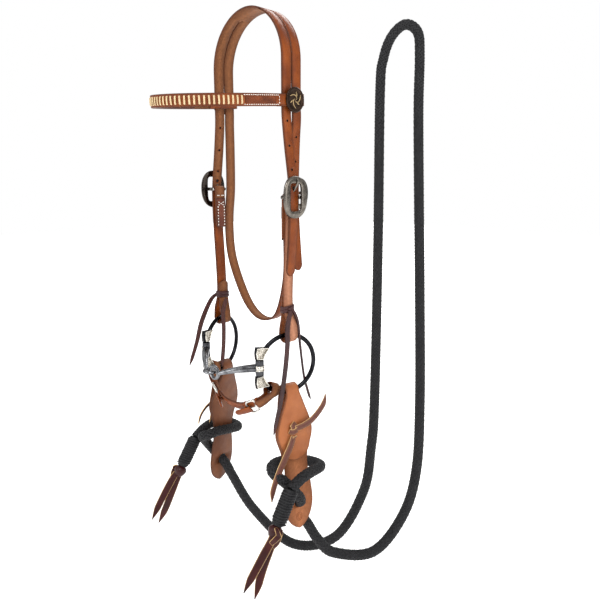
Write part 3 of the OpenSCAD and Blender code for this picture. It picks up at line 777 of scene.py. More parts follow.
# ---- cheek straps ----
def cheek_path(side):
    bx, z = BAR_X[side], BUCKLE_Z[side]
    fold = 2 + 0.3 + 1.5
    return np.vstack([[[bx - fold, z - 62], [bx - fold, z - 30]], fold_arc(bx, z, fold, 180, 0),
                      curve([[bx + fold - 0.2, z - 30], [ARCH_R + 9.2, -240], [ARCH_R + 5, -316], [ARCH_R + 5.6, -352],
                             [RING_HALF + 8.0, -374], [RING_HALF + 10.1, RING_Z + RING_R]], 6),
                      fold_arc(RING_HALF, RING_Z + RING_R, 10.1, -12, -180),
                      curve([[RING_HALF - 9.4, RING_Z + RING_R + 9], [ARCH_R + 0.4, -357], [ARCH_R, -328]], 6)])


def make_cheek(name, side):
    p = ending(standing(cheek_path(side), STRAP_Y), 2.2)
    p = flip(p, side)
    soup = Soup()
    soup.add(*strap_shell(p, across_y(p, side), tip(p, CHEEK_W, "round", "round", 0.7), 3.0))
    soup.build(name + "_cheek_leather", CHEEK_LEATHER if side > 0 else RUSSET, "headstall", name + "_cheek_strap")
    bx, z = BAR_X[side], BUCKLE_Z[side]
    x = bx - 3.8 - 1.5 - 0.55
    p = even(flip([[x, STRAP_Y, z - 14], [x, STRAP_Y, z - 61]], side), 2)
    soup = Soup()
    soup.add(*strap_shell(p, across_y(p, side), CHEEK_W - 1.5, 1.0))
    soup.build(name + "_chape_panel", DARKLEATHER, "headstall")
    thread = Soup()
    up = np.array([-float(side), 0, 0])
    xs = side * (x - 0.5)
    half = CHEEK_W / 2 - 3.4

    def row(y0, z0, y1, z1):
        q = np.array([[xs, STRAP_Y + y0, z + z0], [xs, STRAP_Y + y1, z + z1]])
        q = even(q, 1.0)
        stitch_shells(thread, q, np.tile(up, (len(q), 1)), 4.5, 2.4, 0.85)

    row(-half, -26, -half, -59)
    row(half, -26, half, -59)
    row(-half, -20, half, -26)
    row(half, -20, -half, -26)
    fold_x = side * (bx - 3.8 - 1.5)
    bar_row = np.array([[fold_x, STRAP_Y + y0, z - 10.0] for y0 in np.linspace(-8.4, 8.4, 7)])
    stitch_shells(thread, bar_row, np.tile(up, (7, 1)), 6.4, 5.2, 0.75)
    thread.build(name + "_chape_stitches", THREAD, "headstall")


def cut_thong(soup, points, across, widths, t=1.8):
    """A thong strip through the points, pointed at its free end."""
    p = ending(curve(points, 10), 2.2, 0.6, 10)
    w = np.interp(np.linspace(0, 1, len(p)), np.linspace(0, 1, len(widths)), widths)
    soup.add(*strap_shell(p, np.tile(across, (len(p), 1)), tip(p, w, None, "point", 1.2), t, crease=False))


def wrap_shell(soup, centre, half_x, half_y, width, turns, t=2.0, lean=0.0):
    """A thong wound round a flat pair of straps."""
    n = 40
    for k in range(turns):
        z = (k - (turns - 1) / 2) * width * 0.92
        ang = np.linspace(0, 2 * math.pi, n, endpoint=False)
        ring = np.stack([np.sign(np.cos(ang)) * np.abs(np.cos(ang)) ** 0.6 * half_x,
                         np.sign(np.sin(ang)) * np.abs(np.sin(ang)) ** 0.6 * half_y, z + lean * np.sin(ang)], 1) + centre
        v, f = tube_shell(np.roll(ring, 0, 0), width / 2, 10, start=(0, 0, 1), squash=t / width, closed=True)
        soup.add(v, f, rim=[0.0] * len(v))


def make_cheek_thongs():
    tab = np.array([ARCH_R + 3.0, STRAP_Y, -351.0])
    for name, side in SIDES.items():
        soup = Soup()
        wrap_shell(soup, tab * [side, 1, 1], 5.5, CHEEK_W / 2 + 1.2, 5.4, 2, 2.2, 0.9 * side)
        knot_x = RING_HALF + 4.2
        wrap_shell(soup, np.array([side * knot_x, STRAP_Y + 1, -352]), 2.6, 4.5, 5.0, 2, 2.4, 1.2)
        out = knot_x + 2.6
        if side > 0:
            cut_thong(soup, [[out, -13, -354], [out + 2, -20, -367], [out + 3.6, -24, -384], [out + 4.6, -25, -402],
                             [out + 4, -29, -440], [out + 3, -37, -485], [out + 2, -44, -512], [out + 1, -51, -538]],
                      -ALONG_Y, [7, 8.6, 9.4, 9.6, 9.4, 8.6, 7.5, 6])
            cut_thong(soup, [[out, -12, -350], [out + 2, -6, -360], [out + 3, -1, -376], [out + 3, 3, -409],
                             [out + 2, 12, -459], [out + 1, 20, -482], [out, 29, -504]],
                      -ALONG_Y, [5, 5.4, 5, 4.2, 4.2, 4.6, 4])
        else:
            cut_thong(soup, [[-out, -13, -350], [-out - 6, -26, -362], [-out - 12, -42, -398], [-out - 13, -52, -430],
                             [-out - 14, -60, -452], [-out - 14, -68, -470]], ALONG_Y, [7, 9, 10, 8.5, 7, 5])
            cut_thong(soup, [[-68.5, -13, -358], [-66, -22, -380], [-64, -23, -405], [-65, -24, -438],
                             [-66, -28, -474]], ALONG_Y, [6, 8, 8, 8, 7])
        soup.build(name + "_cheek_lace", LATIGO, "headstall", name + "_cheek_thong")


# ---- the bit ----
def at_ring(points, side):
    """Points in the ring's own plane (out of plane, forward-back, up) put in place."""
    q = np.array(points, float)
    s, c = math.sin(math.radians(SPLAY)), math.cos(math.radians(SPLAY))
    x = q[:, 0] * c + q[:, 1] * s
    y = q[:, 1] * c - q[:, 0] * s
    return np.stack([side * (RING_HALF + x), RING_Y + y, RING_Z + q[:, 2]], 1)


BAR_U = -RING_R


def flare_outline(sign, grow):
    """The flattened end of the ring above or below the mouthpiece."""
    outer = [[BAR_U - 6.5 - grow, 13 - grow], [BAR_U - 7.6 - grow, 23], [BAR_U - 6.0 - grow, 32 + grow]]
    r = RING_R - WIRE_R - grow
    arc = [[r * math.cos(math.radians(a)), r * math.sin(math.radians(a))] for a in np.linspace(135.5, 162.5, 9)]
    return [[u, sign * z] for u, z in outer + arc]


def slab(soup, outline, low, high, place, side, bevel=0.5, rim_edge=0.0):
    """A plate with bevelled edges; the outline is in the ring's plane."""
    o = np.array(outline, float)
    c = o.mean(0)
    inset = c + (o - c) * (1 - bevel / np.abs(o - c).max())
    layers = [(inset, low), (o, low + bevel * 0.6), (o, high - bevel * 0.6), (inset, high)]
    n = len(o)
    verts = [[h, u, z] for ring, h in layers for u, z in ring]
    faces = [[i * n + k, i * n + (k + 1) % n, (i + 1) * n + (k + 1) % n, (i + 1) * n + k]
             for i in range(3) for k in range(n)]
    faces += [list(range(n)), [3 * n + k for k in range(n)]]
    soup.add(place(verts, side), faces, rim=[rim_edge] * len(verts))


def make_ring(name, side):
    turn = np.radians(np.linspace(-141, 141, 150))
    wire = np.stack([np.zeros(150), RING_R * np.cos(turn), RING_R * np.sin(turn)], 1)
    soup = Soup()
    v, f = tube_shell(wire, WIRE_R, 20, start=(1, 0, 0))
    soup.add(at_ring(v, side), f)
    for sign in (1, -1):
        slab(soup, flare_outline(sign, 0), -3.4, 3.4, at_ring, side, 1.2)
    pin = np.array([[0, BAR_U, z] for z in np.linspace(-13, 13, 5)])
    v, f = tube_shell(pin, 4.0, 20, start=(1, 0, 0))
    soup.add(at_ring(v, side), f)
    soup.build(name + "_bit_ring", BLACK_STEEL, "bit", name + "_ring")
    plate, border = Soup(), Soup()
    for face in (1, -1):
        low, high = (3.45, 4.1) if face > 0 else (-4.1, -3.45)
        for sign in (1, -1):
            outline = np.array(flare_outline(sign, -1.0))
            slab(plate, outline, low, high, at_ring, side, 0.4)
            c = outline.mean(0)
            loop = c + (outline - c) * 0.93
            loop = np.vstack([loop, loop[:1]])
            loop = even(loop, 1.2)[:-1]
            line = [[face * 4.1, u, z] for u, z in loop]
            v, f = tube_shell(line, 0.75, 8, start=(1, 0, 0), closed=True)
            border.add(at_ring(v, side), f)
    plate.build(name + "_engraved_plates", SILVER, "bit", name + "_trim")
    border.build(name + "_plate_borders", SILVER_RIM, "bit")


MOUTH_EYE = np.array([4.75, -95.0, -449.0])
EYE_R = 9.5


def make_cannon(name, side):
    """One arm of the mouthpiece: sleeve on the ring's bar, bowed taper, and the eye of the centre link."""
    bar = at_ring([[0, BAR_U, 0]], 1)[0]
    root = MOUTH_EYE + [EYE_R, 0, 0]
    soup = Soup()
    line = [[bar[0], bar[1], bar[2] + z] for z in (-12, -11.4, -10.6, -4, 4, 10.6, 11.4, 12)]
    v, f = tube_shell(line, [5.5, 6.2, 6.4, 6.4, 6.4, 6.4, 6.2, 5.5], 28, start=(1, 0, 0))
    soup.add(flip(v, side), f, rim=[0.9] * len(v))
    t = np.linspace(0, 1, 26)[:, None]
    bow = np.array([0, -3.0, 2.0]) * np.sin(math.pi * t)
    arm = root + (bar - root) * t + bow
    r = np.interp(t[:, 0], [0, 0.08, 0.3, 0.7, 0.9, 1], [3.0, 3.3, 4.3, 5.7, 6.2, 6.2])
    v, f = tube_shell(arm, r, 24)
    soup.add(flip(v, side), f, rim=np.repeat(np.clip((t[:, 0] - 0.6) * 2.6, 0, 1), 24))
    a = np.linspace(0, 2 * math.pi, 48, endpoint=False)
    if side > 0:
        eye = np.stack([EYE_R * np.cos(a), 0 * a, EYE_R * np.sin(a)], 1)
    else:
        eye = np.stack([EYE_R * np.cos(a), EYE_R * np.sin(a), 0 * a], 1)
    v, f = tube_shell(eye + MOUTH_EYE, 2.6, 16, start=(1, 0, 0), closed=True)
    soup.add(flip(v, side), f)
    body = name + "_cannon"
    soup.build(name + "_mouthpiece_arm", STEEL, body, name + "_cannon")
    band = Soup()
    turn = np.radians(np.linspace(-SPLAY - 72, -SPLAY + 75, 30))
    for z0, z1, grow in ((-3.6, 3.6, 0.0), (-3.9, -3.0, 0.35), (3.0, 3.9, 0.35)):
        low = np.stack([np.cos(turn), np.sin(turn)], 1)
        rows = [(6.35, z0), (7.3 + grow, z0), (7.3 + grow, z1), (6.35, z1)]
        verts = [[bar[0] + q[0] * rr, bar[1] + q[1] * rr, bar[2] + z] for q in low for rr, z in rows]
        faces = [[i * 4 + k, i * 4 + (k + 1) % 4, (i + 1) * 4 + (k + 1) % 4, (i + 1) * 4 + k]
                 for i in range(len(low) - 1) for k in range(4)]
        faces += [[0, 1, 2, 3], [len(verts) - 4 + k for k in range(4)]]
        band.add(flip(verts, side), faces)
    band.build(name + "_sleeve_band", SILVER_RIM, body, name + "_cannon_band")


# ---- curb strap ----
CURB_Y = -39.5
CURB_Z = -472.855
CURB_X = 72.85
CURB_TILT = -25.0
CURB_SAG = 13.0
CURB_TWIST = 0.65


def at_curb(points):
    """The strap hangs lower and turns its outer face to the front between the rings."""
    q = np.array(points, float)
    sag = np.clip(1 - (q[:, 0] / CURB_X) ** 2, 0, 1)
    q[:, 2] -= CURB_SAG * sag + CURB_TWIST * np.minimum(1, 2 * sag) * q[:, 1]
    c, s = math.cos(math.radians(CURB_TILT)), math.sin(math.radians(CURB_TILT))
    return np.stack([q[:, 0], CURB_Y + q[:, 1] * c - q[:, 2] * s, CURB_Z + q[:, 1] * s + q[:, 2] * c], 1)


def at_curb_buckle(points, side):
    q = np.array(points, float)
    c, s = math.cos(math.radians(-20)), math.sin(math.radians(-20))
    x = q[:, 0] * c + (q[:, 2] - 3.4) * s
    z = -q[:, 0] * s + (q[:, 2] - 3.4) * c
    return at_curb(np.stack([side * (43 + x), q[:, 1], -23.2 + z], 1))


def curb_plane(xz, y=0.0):
    return at_curb([[x, y, z] for x, z in xz])


def make_curb():
    mid = curve([[CURB_X - 6, -8], [62, -14], [46, -22], [24, -28.5], [0, -30], [-24, -28.5], [-46, -22], [-62, -14],
                 [6 - CURB_X, -8]], 6)
    right = fold_arc(CURB_X, 0, 9.2, 200, -60, 24)
    left = [[-x, z] for x, z in right]
    right_tail = [[CURB_X - 2, -13.5], [64, -18.5], [52, -24.5]]
    left_tail = [[-x, z] for x, z in right_tail]
    loop = np.vstack([right_tail[::-1], right[::-1], mid, left, left_tail])
    flat = even(standing(loop, 0), 2.0)
    p = at_curb(flat)
    across = p - at_curb(flat + ALONG_Y)
    soup = Soup()
    soup.add(*strap_shell(p, across, tip(p, 16.0, "round", "round", 0.5), 3.2))
    keeper = Soup()
    for side in (1, -1):
        for x in (54, 33.5):
            z = np.interp(-x, -mid[:, 0], mid[:, 1]) - 2.0
            ring = [[side * x + 0.0, 7.6 * math.cos(a), z + 3.6 * math.sin(a)] for a in np.linspace(0, 2 * math.pi, 24, False)]
            v, f = tube_shell(at_curb(ring), 1.7, 8, start=(1, 0, 0), closed=True)
            keeper.add(v, f, rim=[0.4] * len(v))
        v, f = strap_shell(*curb_tip_line(side))[:2]
        keeper.add(v, f)
    soup.build("curb_leather", RUSSET, "curb", ("curb_strap", "near_curb_tip", "far_curb_tip"))
    keeper.build("curb_keepers", RUSSET, "curb")


def curb_tip_line(side):
    pts = curve([[-2, 0, -4.2], [-12, -0.5, -5.0], [-22, -2, -6.2], [-31, -4.5, -8.5]], 5)
    p = ending(at_curb_buckle(pts, side), 2, 0.5, 8)
    across = at_curb([[0, 1, 0]])[0] - at_curb([[0, 0, 0]])[0]
    return p, np.tile(across, (len(p), 1)), tip(p, 11.0, None, "round", 1.1), 2.2


def make_curb_buckle(name, side):
    soup = Soup()
    a = np.linspace(0, 2 * math.pi, 60, endpoint=False)
    x = 9.2 * np.sign(np.cos(a)) * np.abs(np.cos(a)) ** 0.75
    y = 10.4 * np.sign(np.sin(a)) * np.abs(np.sin(a)) ** 0.75
    z = -0.9 * (1 - (x / 9.2) ** 2)
    v, f = tube_shell(at_curb_buckle(np.stack([x, y, z], 1), side), 1.75, 12, start=(0, 0, 1), closed=True)
    soup.add(v, f)
    v, f = tube_shell(at_curb_buckle([[7.6, yy, 0] for yy in (-10, -5, 0, 5, 10)], side), 1.45, 12)
    soup.add(v, f)
    soup.build(name + "_curb_buckle_frame", NICKEL, "curb", name + "_curb_buckle")
    prong = Soup()
    pts = curve([[8.8, 0, -1.6], [6, 0, -3.0], [0, 0, -3.2], [-6, 0, -3.0], [-10.2, 0, -3.1]], 5)
    r = np.interp(np.linspace(0, 1, len(pts)), [0, 0.2, 1], [1.9, 1.4, 0.9])
    v, f = tube_shell(at_curb_buckle(pts, side), r, 12)
    prong.add(v, f)
    hub = [[8.0 + 2.0 * math.cos(t), 0, 2.0 * math.sin(t)] for t in np.linspace(0, 2 * math.pi, 20, False)]
    v, f = tube_shell(at_curb_buckle(hub, side), 1.0, 8, start=(1, 0, 0), closed=True)
    prong.add(v, f)
    prong.build(name + "_curb_prong", NICKEL, name + "_curb_tongue", name + "_curb_tongue")


# ---- slobber straps ----
def hang(points, side):
    """Points in the slobber strap's own frame: outwards, forward-back, down the strap."""
    q = np.array(points, float)
    cl, sl = math.cos(math.radians(FOLD_LEAN)), math.sin(math.radians(FOLD_LEAN))
    cs, ss = math.cos(math.radians(FOLD_SPLAY)), math.sin(math.radians(FOLD_SPLAY))
    x = q[:, 0] * cl - q[:, 2] * sl
    z = q[:, 2] * cl + q[:, 0] * sl
    return np.stack([side * (RING_HALF + x * cs + q[:, 1] * ss), RING_Y + q[:, 1] * cs - x * ss,
                     RING_Z - RING_R + z], 1)


HANG_ACROSS = hang([[0, 1, 0]], 1)[0] - hang([[0, 0, 0]], 1)[0]
HANG_OUT = hang([[1, 0, 0]], 1)[0] - hang([[0, 0, 0]], 1)[0]
INNER_SHAPE = curve([[3, 12, 24], [3, -2, 25], [4, -20, 38], [7, -62, 67], [7, -96, 52], [7.4, -124, 44], [8, -160, 52],
                     [8, -184, 54], [7.4, -202, 46], [7, -214, 32], [6.6, -221, 16], [6.4, -224, 3]], 8)
OUTER_SHAPE = curve([[3, 12, 24], [3, -2, 25], [4, -20, 38], [7, -62, 66], [7, -88, 55], [7, -98, 48], [7, -105, 34],
                     [7, -109, 18], [7, -110, 4]], 8)


def make_slobber(name, side):
    up_side = [[-9.5, z] for z in (2, -3, -10)]
    inner = curve([[-9.5, 1.5], [-9.5, -10], [-5, -34], [-2.2, -56], [-2, -80], [-2, -224]], 8)
    outer = curve([[9.5, 1.5], [9.5, -10], [5, -34], [2.2, -56], [2, -80], [2, -110]], 8)
    soup = Soup()
    bend = np.array(fold_arc(0, 1.5, 9.5, 0, 180, 22))
    line = even(np.vstack([outer[::-1], bend[1:-1], inner]), 1.4)
    top = length_along(line)
    apex = np.argmax(line[:, 1])
    verts_centre, width = [], []
    for i, (x, z) in enumerate(line):
        shape = OUTER_SHAPE if i < apex else INNER_SHAPE
        order = np.argsort(shape[:, 1])
        verts_centre.append([x, np.interp(z, shape[order, 1], shape[order, 0]), z])
        width.append(np.interp(z, shape[order, 1], shape[order, 2]))
    bellied = np.array(verts_centre)
    p = hang(bellied, side)
    across = np.tile(HANG_ACROSS * [side, 1, 1], (len(p), 1)) * side
    soup.add(*strap_shell(p, across, width, 3.0))
    obj = soup.build(name + "_slobber_leather", SADDLE if side > 0 else SADDLE_DARK, "rein", name + "_slobber")
    centre = hang([[-2, 8, -181]], side)[0]
    drill(obj, [(centre, HANG_OUT * [side, 1, 1], 8.6, 16)], through=True)
    mark = Soup()
    a = np.linspace(0, 2 * math.pi, 40, endpoint=False)
    for grow, r in ((1.0, 0.55), (0.55, 0.4)):
        ring = np.stack([np.full(40, -0.45), 6.3 + 5.4 * grow * np.cos(a), -205 + 6.6 * grow * np.sin(a)], 1)
        v, f = tube_shell(hang(ring, side), r, 8, start=(1, 0, 0), closed=True)
        mark.add(v, f, rim=[0.3] * len(v))
    mark.build(name + "_slobber_stamp", SADDLE, "rein")


def make_slobber_thong(name, side):
    soup = Soup()
    out = np.array([1.0, 0, 0])

    def line(points, widths, t=1.7):
        p = ending(curve(hang(points, side), 9), 2, 0.5, 10)
        w = np.interp(np.linspace(0, 1, len(p)), np.linspace(0, 1, len(widths)), widths)
        tan = tangents(p)
        face = unit(HANG_OUT * [side, 1, 1] + np.array([0, -0.15, 0]))
        across = np.cross(tan, np.tile(face, (len(p), 1)))
        soup.add(*strap_shell(p, across * -1, tip(p, w, None, "point", 1.1), t, crease=False))

    knot = [[5.6, 0, -50], [7.6, 2, -53], [8.2, 3, -58], [7.4, 4, -63], [5.4, 4, -66]]
    p = even(curve(hang(knot, side), 6), 1.2)
    soup.add(*strap_shell(p, np.tile(HANG_ACROSS * [side, 1, 1], (len(p), 1)) * side, 12.0, 2.0, crease=False))
    p = even(curve(hang([[5.4, -5.5, -60], [8.4, -3, -62], [9.6, 2, -62], [8.6, 7, -60], [5.6, 9, -58]], side), 6), 1.2)
    soup.add(*strap_shell(p, np.tile([0, 0, 1.0 * side], (len(p), 1)), 8.5, 2.0, crease=False))
    p = even(curve(hang([[8.8, -2, -71], [9.6, 1, -71.5], [9.4, 5, -70]], side), 6), 1.2)
    soup.add(*strap_shell(p, np.tile([0, 0, 1.0 * side], (len(p), 1)), 3.0, 1.6, crease=False))
    if side > 0:
        line([[9, 4, -58], [10, 16, -57], [10.5, 32, -53], [10, 48, -44], [9, 62, -32], [8, 68, -18]],
             [9, 9.5, 10, 9.5, 8.5, 7])
        line([[8, 0, -70], [10, -8, -82], [11, -20, -98], [11, -34, -118], [11, -46, -140], [11, -50, -158]],
             [9, 10, 11, 10, 8.5, 6])
    else:
        line([[9, 2, -62], [10, -12, -66], [10, -26, -72], [9, -38, -82], [8, -44, -96]], [7, 7, 6, 5, 4])
        line([[9, 0, -64], [10, -10, -76], [10, -12, -92], [9, -16, -104]], [6, 6, 5, 4])
    soup.build(name + "_slobber_lace", LATIGO_CUT, "rein", name + "_slobber_thong")


# ---- rein rope, whippings and poppers ----
HITCH = [[-24, 18, -214], [-17.5, 11.5, -196], [-9, 8.2, -184.5], [-1, 7.6, -181], [7, 5.6, -176],
         [13, -2, -164], [14, -14, -148], [11.5, -26, -133], [3, -36.5, -121], [-9, -33, -114],
         [-13.5, -16, -112], [-13.5, 20, -120], [-9, 39, -126], [4, 46.5, -129], [19, 39, -127],
         [29.5, 14, -124], [31, -8, -128], [31, -27, -138]]
REIN = [[92, 16, -713], [108, 27, -743], [129, 44, -766], [171, 95, -769], [194, 143, -714], [198, 172, -640],
        [184, 195, -526], [159, 220, -361], [133, 244, -196], [110, 266, -48], [98, 281, 42], [90, 284, 80],
        [73, 272, 93], [58, 255, 74], [51, 243, 38], [55, 231, -17], [87, 195, -264], [121, 153, -532],
        [128, 138, -613], [122, 127, -694], [86, 96, -784], [22, 53, -808], [-54, 27, -762]]
WHIP_DIR = np.array([0, -32.0, -50.0]) / math.hypot(32, 50)
WHIP_LEN = 54.0
PIVOT = WHIP_LEN + 10.0
PLAIT = 8
PITCH = 42.0


def smooth_rope(step):
    p = curve(np.vstack([hang(HITCH, 1)[::-1], REIN, hang(HITCH, -1)]), 9)
    return even(p, step)


def make_rope():
    core = Soup()
    p = smooth_rope(5.0)
    v, f = tube_shell(p, ROPE_R - 1.5, 12, start=(1, 0, 0))
    core.add(v, f)
    core.build("rein_core", BLACK_CORD, "rein", "rein_rope")
    p = smooth_rope(1.7)
    run = length_along(p)
    t = tangents(p)
    a = carried(p, (1, 0, 0))
    b = np.cross(t, a)
    plait = Soup()
    wave = np.sin(8 * math.pi * run / PITCH + math.pi / 4)
    section = [(-1.9, 0.0), (-1.1, 0.75), (0.0, 1.0), (1.1, 0.75), (1.9, 0.0), (0.0, -0.7)]
    for hand in (1, -1):
        for k in range(PLAIT):
            ang = 2 * math.pi * (k / PLAIT + hand * run / PITCH)
            out = np.cos(ang)[:, None] * a + np.sin(ang)[:, None] * b
            r = ROPE_R - 1.35 + 0.5 * hand * wave
            line = p + out * r[:, None]
            along = tangents(line)
            side = np.cross(out, along)
            verts = np.stack([line + side * w + out * h for w, h in section], 1)
            n, m = len(line), len(section)
            faces = [[i * m + q, i * m + (q + 1) % m, (i + 1) * m + (q + 1) % m, (i + 1) * m + q]
                     for i in range(n - 1) for q in range(m)]
            faces += [list(range(m)), [(n - 1) * m + q for q in range(m)]]
            plait.add(verts.reshape(-1, 3), faces)
    plait.build("rein_braid", BLACK_CORD, "rein")


def at_whip(points, side, down=0.0):
    """Local points: outwards, across the fork, back up along the whipping; down runs along the whipping."""
    q = np.array(points, float)
    ez = -WHIP_DIR
    ex = np.array([1.0, 0, 0])
    ey = np.cross(ez, ex)
    base = np.array(HITCH[-1]) + WHIP_DIR * down
    return hang(base + q[:, :1] * ex + q[:, 1:2] * ey + q[:, 2:3] * ez, side)


def make_whipping(name, side):
    soup = Soup()
    z = np.linspace(0, WHIP_LEN, 60)
    r = np.interp(z, [0, 4, WHIP_LEN - 4, WHIP_LEN], [9.0, 9.8, 9.6, 6.6])
    v, f = tube_shell(at_whip([[0, 0, -q] for q in z], side, 1), r, 24, start=(1, 0, 0))
    soup.add(v, f)
    turns = 13
    t = np.linspace(0, 1, turns * 22)
    ang = 2 * math.pi * turns * t
    rr = 9.5 + 0.25 * np.sin(5.3 * ang / 2) - 2.6 * np.clip((t - 0.84) / 0.16, 0, 1)
    coil = np.stack([rr * np.cos(ang), rr * np.sin(ang) * 1.02, -2.2 - (WHIP_LEN - 4.4) * t + 0.9 * np.sin(ang)], 1)
    v, f = tube_shell(at_whip(coil, side, 1), 2.15, 10, start=(1, 0, 0))
    soup.add(v, f)
    for k in range(turns):
        zc = -2.2 - (WHIP_LEN - 4.4) * (k + 0.5) / turns
        bump = [[11.4 * math.cos(q), 11.4 * math.sin(q), zc + 1.5 * math.sin(3 * q)] for q in np.linspace(-0.5, 0.9, 8)]
        v, f = tube_shell(at_whip(bump, side, 1), [0.4, 1.0, 1.3, 1.4, 1.4, 1.3, 1.0, 0.4], 8, start=(1, 0, 0))
        soup.add(v, f)
    soup.build(name + "_whipping_cord", BLACK_CORD, "rein", name + "_whipping")


def make_popper(name, side):
    """A thong knotted on the rope's end: a folded wrap and two cut tails."""
    soup = Soup()
    z = np.array([9.5, 8.5, 6, 2, -3, -7, -9.5, -10.5])
    r = np.array([4.0, 7.0, 9.8, 11.0, 9.6, 7.4, 5.0, 2.0])
    v, f = tube_shell(at_whip(np.stack([0 * z, 0 * z, z], 1), side, PIVOT), r, 24, start=(1, 0, 0))
    soup.add(v, f)
    across_y_axis = unit(at_whip([[0, 1, 0]], side)[0] - at_whip([[0, 0, 0]], side)[0] + np.array([0.8, 0, 0]))

    def strip(points, widths, t=2.0, start=None, end="point"):
        q = ending(curve(at_whip(points, side, PIVOT), 9), 2, 0.5, 12)
        w = np.interp(np.linspace(0, 1, len(q)), np.linspace(0, 1, len(widths)), widths)
        soup.add(*strap_shell(q, np.tile(-across_y_axis, (len(q), 1)), tip(q, w, start, end, 1.2), t, crease=False))

    strip([[6.5, 3, 6.4], [11.6, 1, 1], [11.2, -2, -6], [6, -4, -16]], [7, 8.5, 8.5, 7], end=None)
    strip([[6, -6, 6.8], [11.8, -4, 2], [12.6, 1, -3], [8.5, 4, -12], [4, 3, -20]], [5, 6.5, 7, 8, 8], end=None)
    strip([[2.2, -3, -2], [4.2, -4, -14], [3.6, -7, -34], [2.4, -10, -58], [1.0, -12, -76], [0, -13, -90]],
          [9, 11, 12.5, 11.5, 9.5, 7])
    strip([[0, 3, -2], [0.6, 3, -16], [-0.4, 4, -40], [-0.8, 6, -62], [0.4, 8, -80], [1.6, 9, -95]],
          [9, 11, 12.5, 12, 10, 6])
    soup.build(name + "_popper_leather", LATIGO_CUT, name + "_popper", name + "_popper")


# ---- buckle bars and tongues ----
def make_bar(node, x, y, z):
    """The bar between the buckle's posts, with a swelled end each side."""
    soup = Soup()
    ends = [-11.6, -11.2, -10.4, -9.8, 9.8, 10.4, 11.2, 11.6]
    radii = [1.6, 2.4, 2.6, 2.0, 2.0, 2.6, 2.4, 1.6]
    v, f = tube_shell([[x, y + e, z] for e in ends], radii, 18, start=(1, 0, 0))
    soup.add(v, f)
    soup.build(node + "_pin", NICKEL, "headstall", node)


def make_tongue(node, side, x, y, z, reach):
    soup = Soup()
    top = BAR_IN + 5.6 + 2.9
    pts = curve([[2.3, 0.2], [3.4, 3.4], [6.5, 7.4], [11, 12.8], [top, reach - 6], [top + 0.1, reach]], 6)
    path = [[side * (x + a), y, z + b] for a, b in pts]
    r = np.interp(np.linspace(0, 1, len(path)), [0, 0.2, 0.9, 1], [1.9, 1.7, 1.3, 0.7])
    v, f = tube_shell(path, r, 14, start=(0, 1, 0))
    soup.add(v, f)
    ang = np.linspace(0, 2 * math.pi, 32, endpoint=False)
    hub = [[side * (x + 2.75 * math.cos(t)), y, z + 2.75 * math.sin(t)] for t in ang]
    v, f = tube_shell(hub, 0.72, 10, start=(0, 1, 0), squash=2.6, closed=True)
    soup.add(v, f)
    soup.build(node + "_prong", ANTIQUE, node, node)


# ---- put together ----
make_crown()
make_browband()
make_lacing()
make_cheek_thongs()
make_curb()
make_rope()
for side_name, side_sign in SIDES.items():
    make_overlay(side_name, side_sign)
    make_concho(side_name, side_sign)
    make_cheek(side_name, side_sign)
    make_buckle(side_name, side_name + "_cheek_buckle", side_sign, BAR_X[side_sign] + BAR_IN + 5.6, STRAP_Y,
                BUCKLE_Z[side_sign], 46, 59, 22, 39, 11.6)
    make_tongue(side_name + "_cheek_tongue", side_sign, BAR_X[side_sign], FRONT_Y, BUCKLE_Z[side_sign], 26)
    make_bar(side_name + "_cheek_bar", side_sign * BAR_X[side_sign], STRAP_Y, BUCKLE_Z[side_sign])
    make_ring(side_name, side_sign)
    make_cannon(side_name, side_sign)
    make_curb_buckle(side_name, side_sign)
    make_slobber(side_name, side_sign)
    make_slobber_thong(side_name, side_sign)
    make_whipping(side_name, side_sign)
    make_popper(side_name, side_sign)
make_buckle("throat", "throat_buckle", 1, THROAT_BAR[0] + BAR_IN + 5.6, THROAT_BAR[1], THROAT_BAR[2], 34, 45, 19, 30, 13.0)
make_tongue("throat_tongue", 1, THROAT_BAR[0], REAR_Y, THROAT_BAR[2], 21)
make_bar("throat_bar", THROAT_BAR[0], THROAT_BAR[1], THROAT_BAR[2])
for cad_name in ("near_concho_screw", "far_concho_screw"):
    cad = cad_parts[cad_name]
    cad.data.materials.clear()
    cad.data.materials.append(NICKEL)


# ---- floor, light and camera ----
def add_floor():
    low = min(corner[2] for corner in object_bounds())
    bpy.ops.mesh.primitive_plane_add(size=14, location=(0, 0, low - 0.02))
    floor = bpy.context.object
    floor.name = "floor"
    m = Nodes("pale_floor")
    pale = m.mix(m.ramp(m.noise(3, 2), 0.3, 0.7), rgb(252, 252, 252), rgb(249, 249, 249))
    away = m.node("VectorMath", _0=m.node("NewGeometry").outputs["Position"])
    away.operation = "LENGTH"
    m.tree.links.new(m.ramp(away.outputs["Value"], 0.8, 2.2, 0.35, 1.0), m.bsdf.inputs["Emission Strength"])
    floor.data.materials.append(m.finish(pale, 0.95, Emission_Color=(1, 1, 1, 1)))
    floor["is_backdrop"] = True


def add_area(name, at, target, size, power):
    light = bpy.data.lights.new(name, "AREA")
    light.shape = "DISK"
    light.size = size
    light.energy = power
    obj = bpy.data.objects.new(name, light)
    obj.location = at
    obj.rotation_euler = (Vector(target) - Vector(at)).to_track_quat("-Z", "Y").to_euler()
    bpy.context.scene.collection.objects.link(obj)


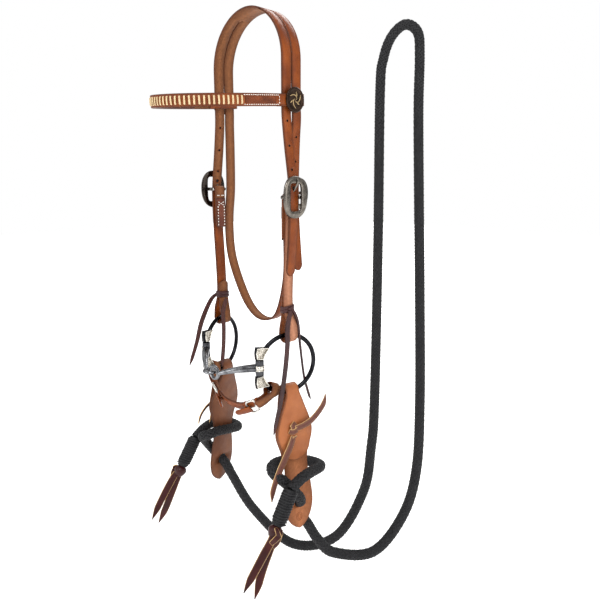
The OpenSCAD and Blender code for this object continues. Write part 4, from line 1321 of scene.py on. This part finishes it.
WORLD_LOW = 0.22
WORLD_HIGH = 0.9


def add_world():
    world = bpy.data.worlds.new("studio")
    world.use_nodes = True
    tree = world.node_tree
    background = tree.nodes["Background"]
    background.inputs["Color"].default_value = (1, 1, 1, 1)
    rays = tree.nodes.new("ShaderNodeLightPath")
    aim = tree.nodes.new("ShaderNodeTexCoord")
    split = tree.nodes.new("ShaderNodeSeparateXYZ")
    tree.links.new(aim.outputs["Generated"], split.inputs[0])
    sky = tree.nodes.new("ShaderNodeMapRange")
    for key, value in (("From Min", -0.3), ("From Max", 0.8), ("To Min", WORLD_LOW), ("To Max", WORLD_HIGH)):
        sky.inputs[key].default_value = value
    tree.links.new(split.outputs["Z"], sky.inputs["Value"])
    level = tree.nodes.new("ShaderNodeMapRange")
    tree.links.new(sky.outputs["Result"], level.inputs["To Min"])
    tree.links.new(rays.outputs["Is Camera Ray"], level.inputs["Value"])
    tree.links.new(level.outputs["Result"], background.inputs["Strength"])
    bpy.context.scene.world = world
    bpy.context.scene.view_settings.view_transform = "Standard"


CAMERA_AT = (0.6648, -0.5712, -0.1663)
AZIMUTH = math.radians(45)
PITCH_DOWN = math.radians(12)


def add_camera():
    lens = bpy.data.cameras.new("camera")
    lens.lens = 33.4
    lens.sensor_width = 36
    camera = bpy.data.objects.new("camera", lens)
    camera.location = CAMERA_AT
    ahead = Vector((-math.sin(AZIMUTH) * math.cos(PITCH_DOWN), math.cos(AZIMUTH) * math.cos(PITCH_DOWN),
                    -math.sin(PITCH_DOWN)))
    camera.rotation_euler = ahead.to_track_quat("-Z", "Y").to_euler()
    bpy.context.scene.collection.objects.link(camera)
    bpy.context.scene.camera = camera


add_floor()
add_world()
add_area("key", (1.1, -1.3, 1.4), (0, 0, -0.35), 1.2, 28)
add_area("fill", (2.0, 0.5, 0.2), (0, 0, -0.4), 1.4, 10)
add_area("front", (-0.6, -2.0, 0.3), (0, 0, -0.3), 1.2, 12)
add_area("back", (-0.8, 1.6, 1.2), (0, 0.1, -0.4), 1.0, 12)
add_camera()
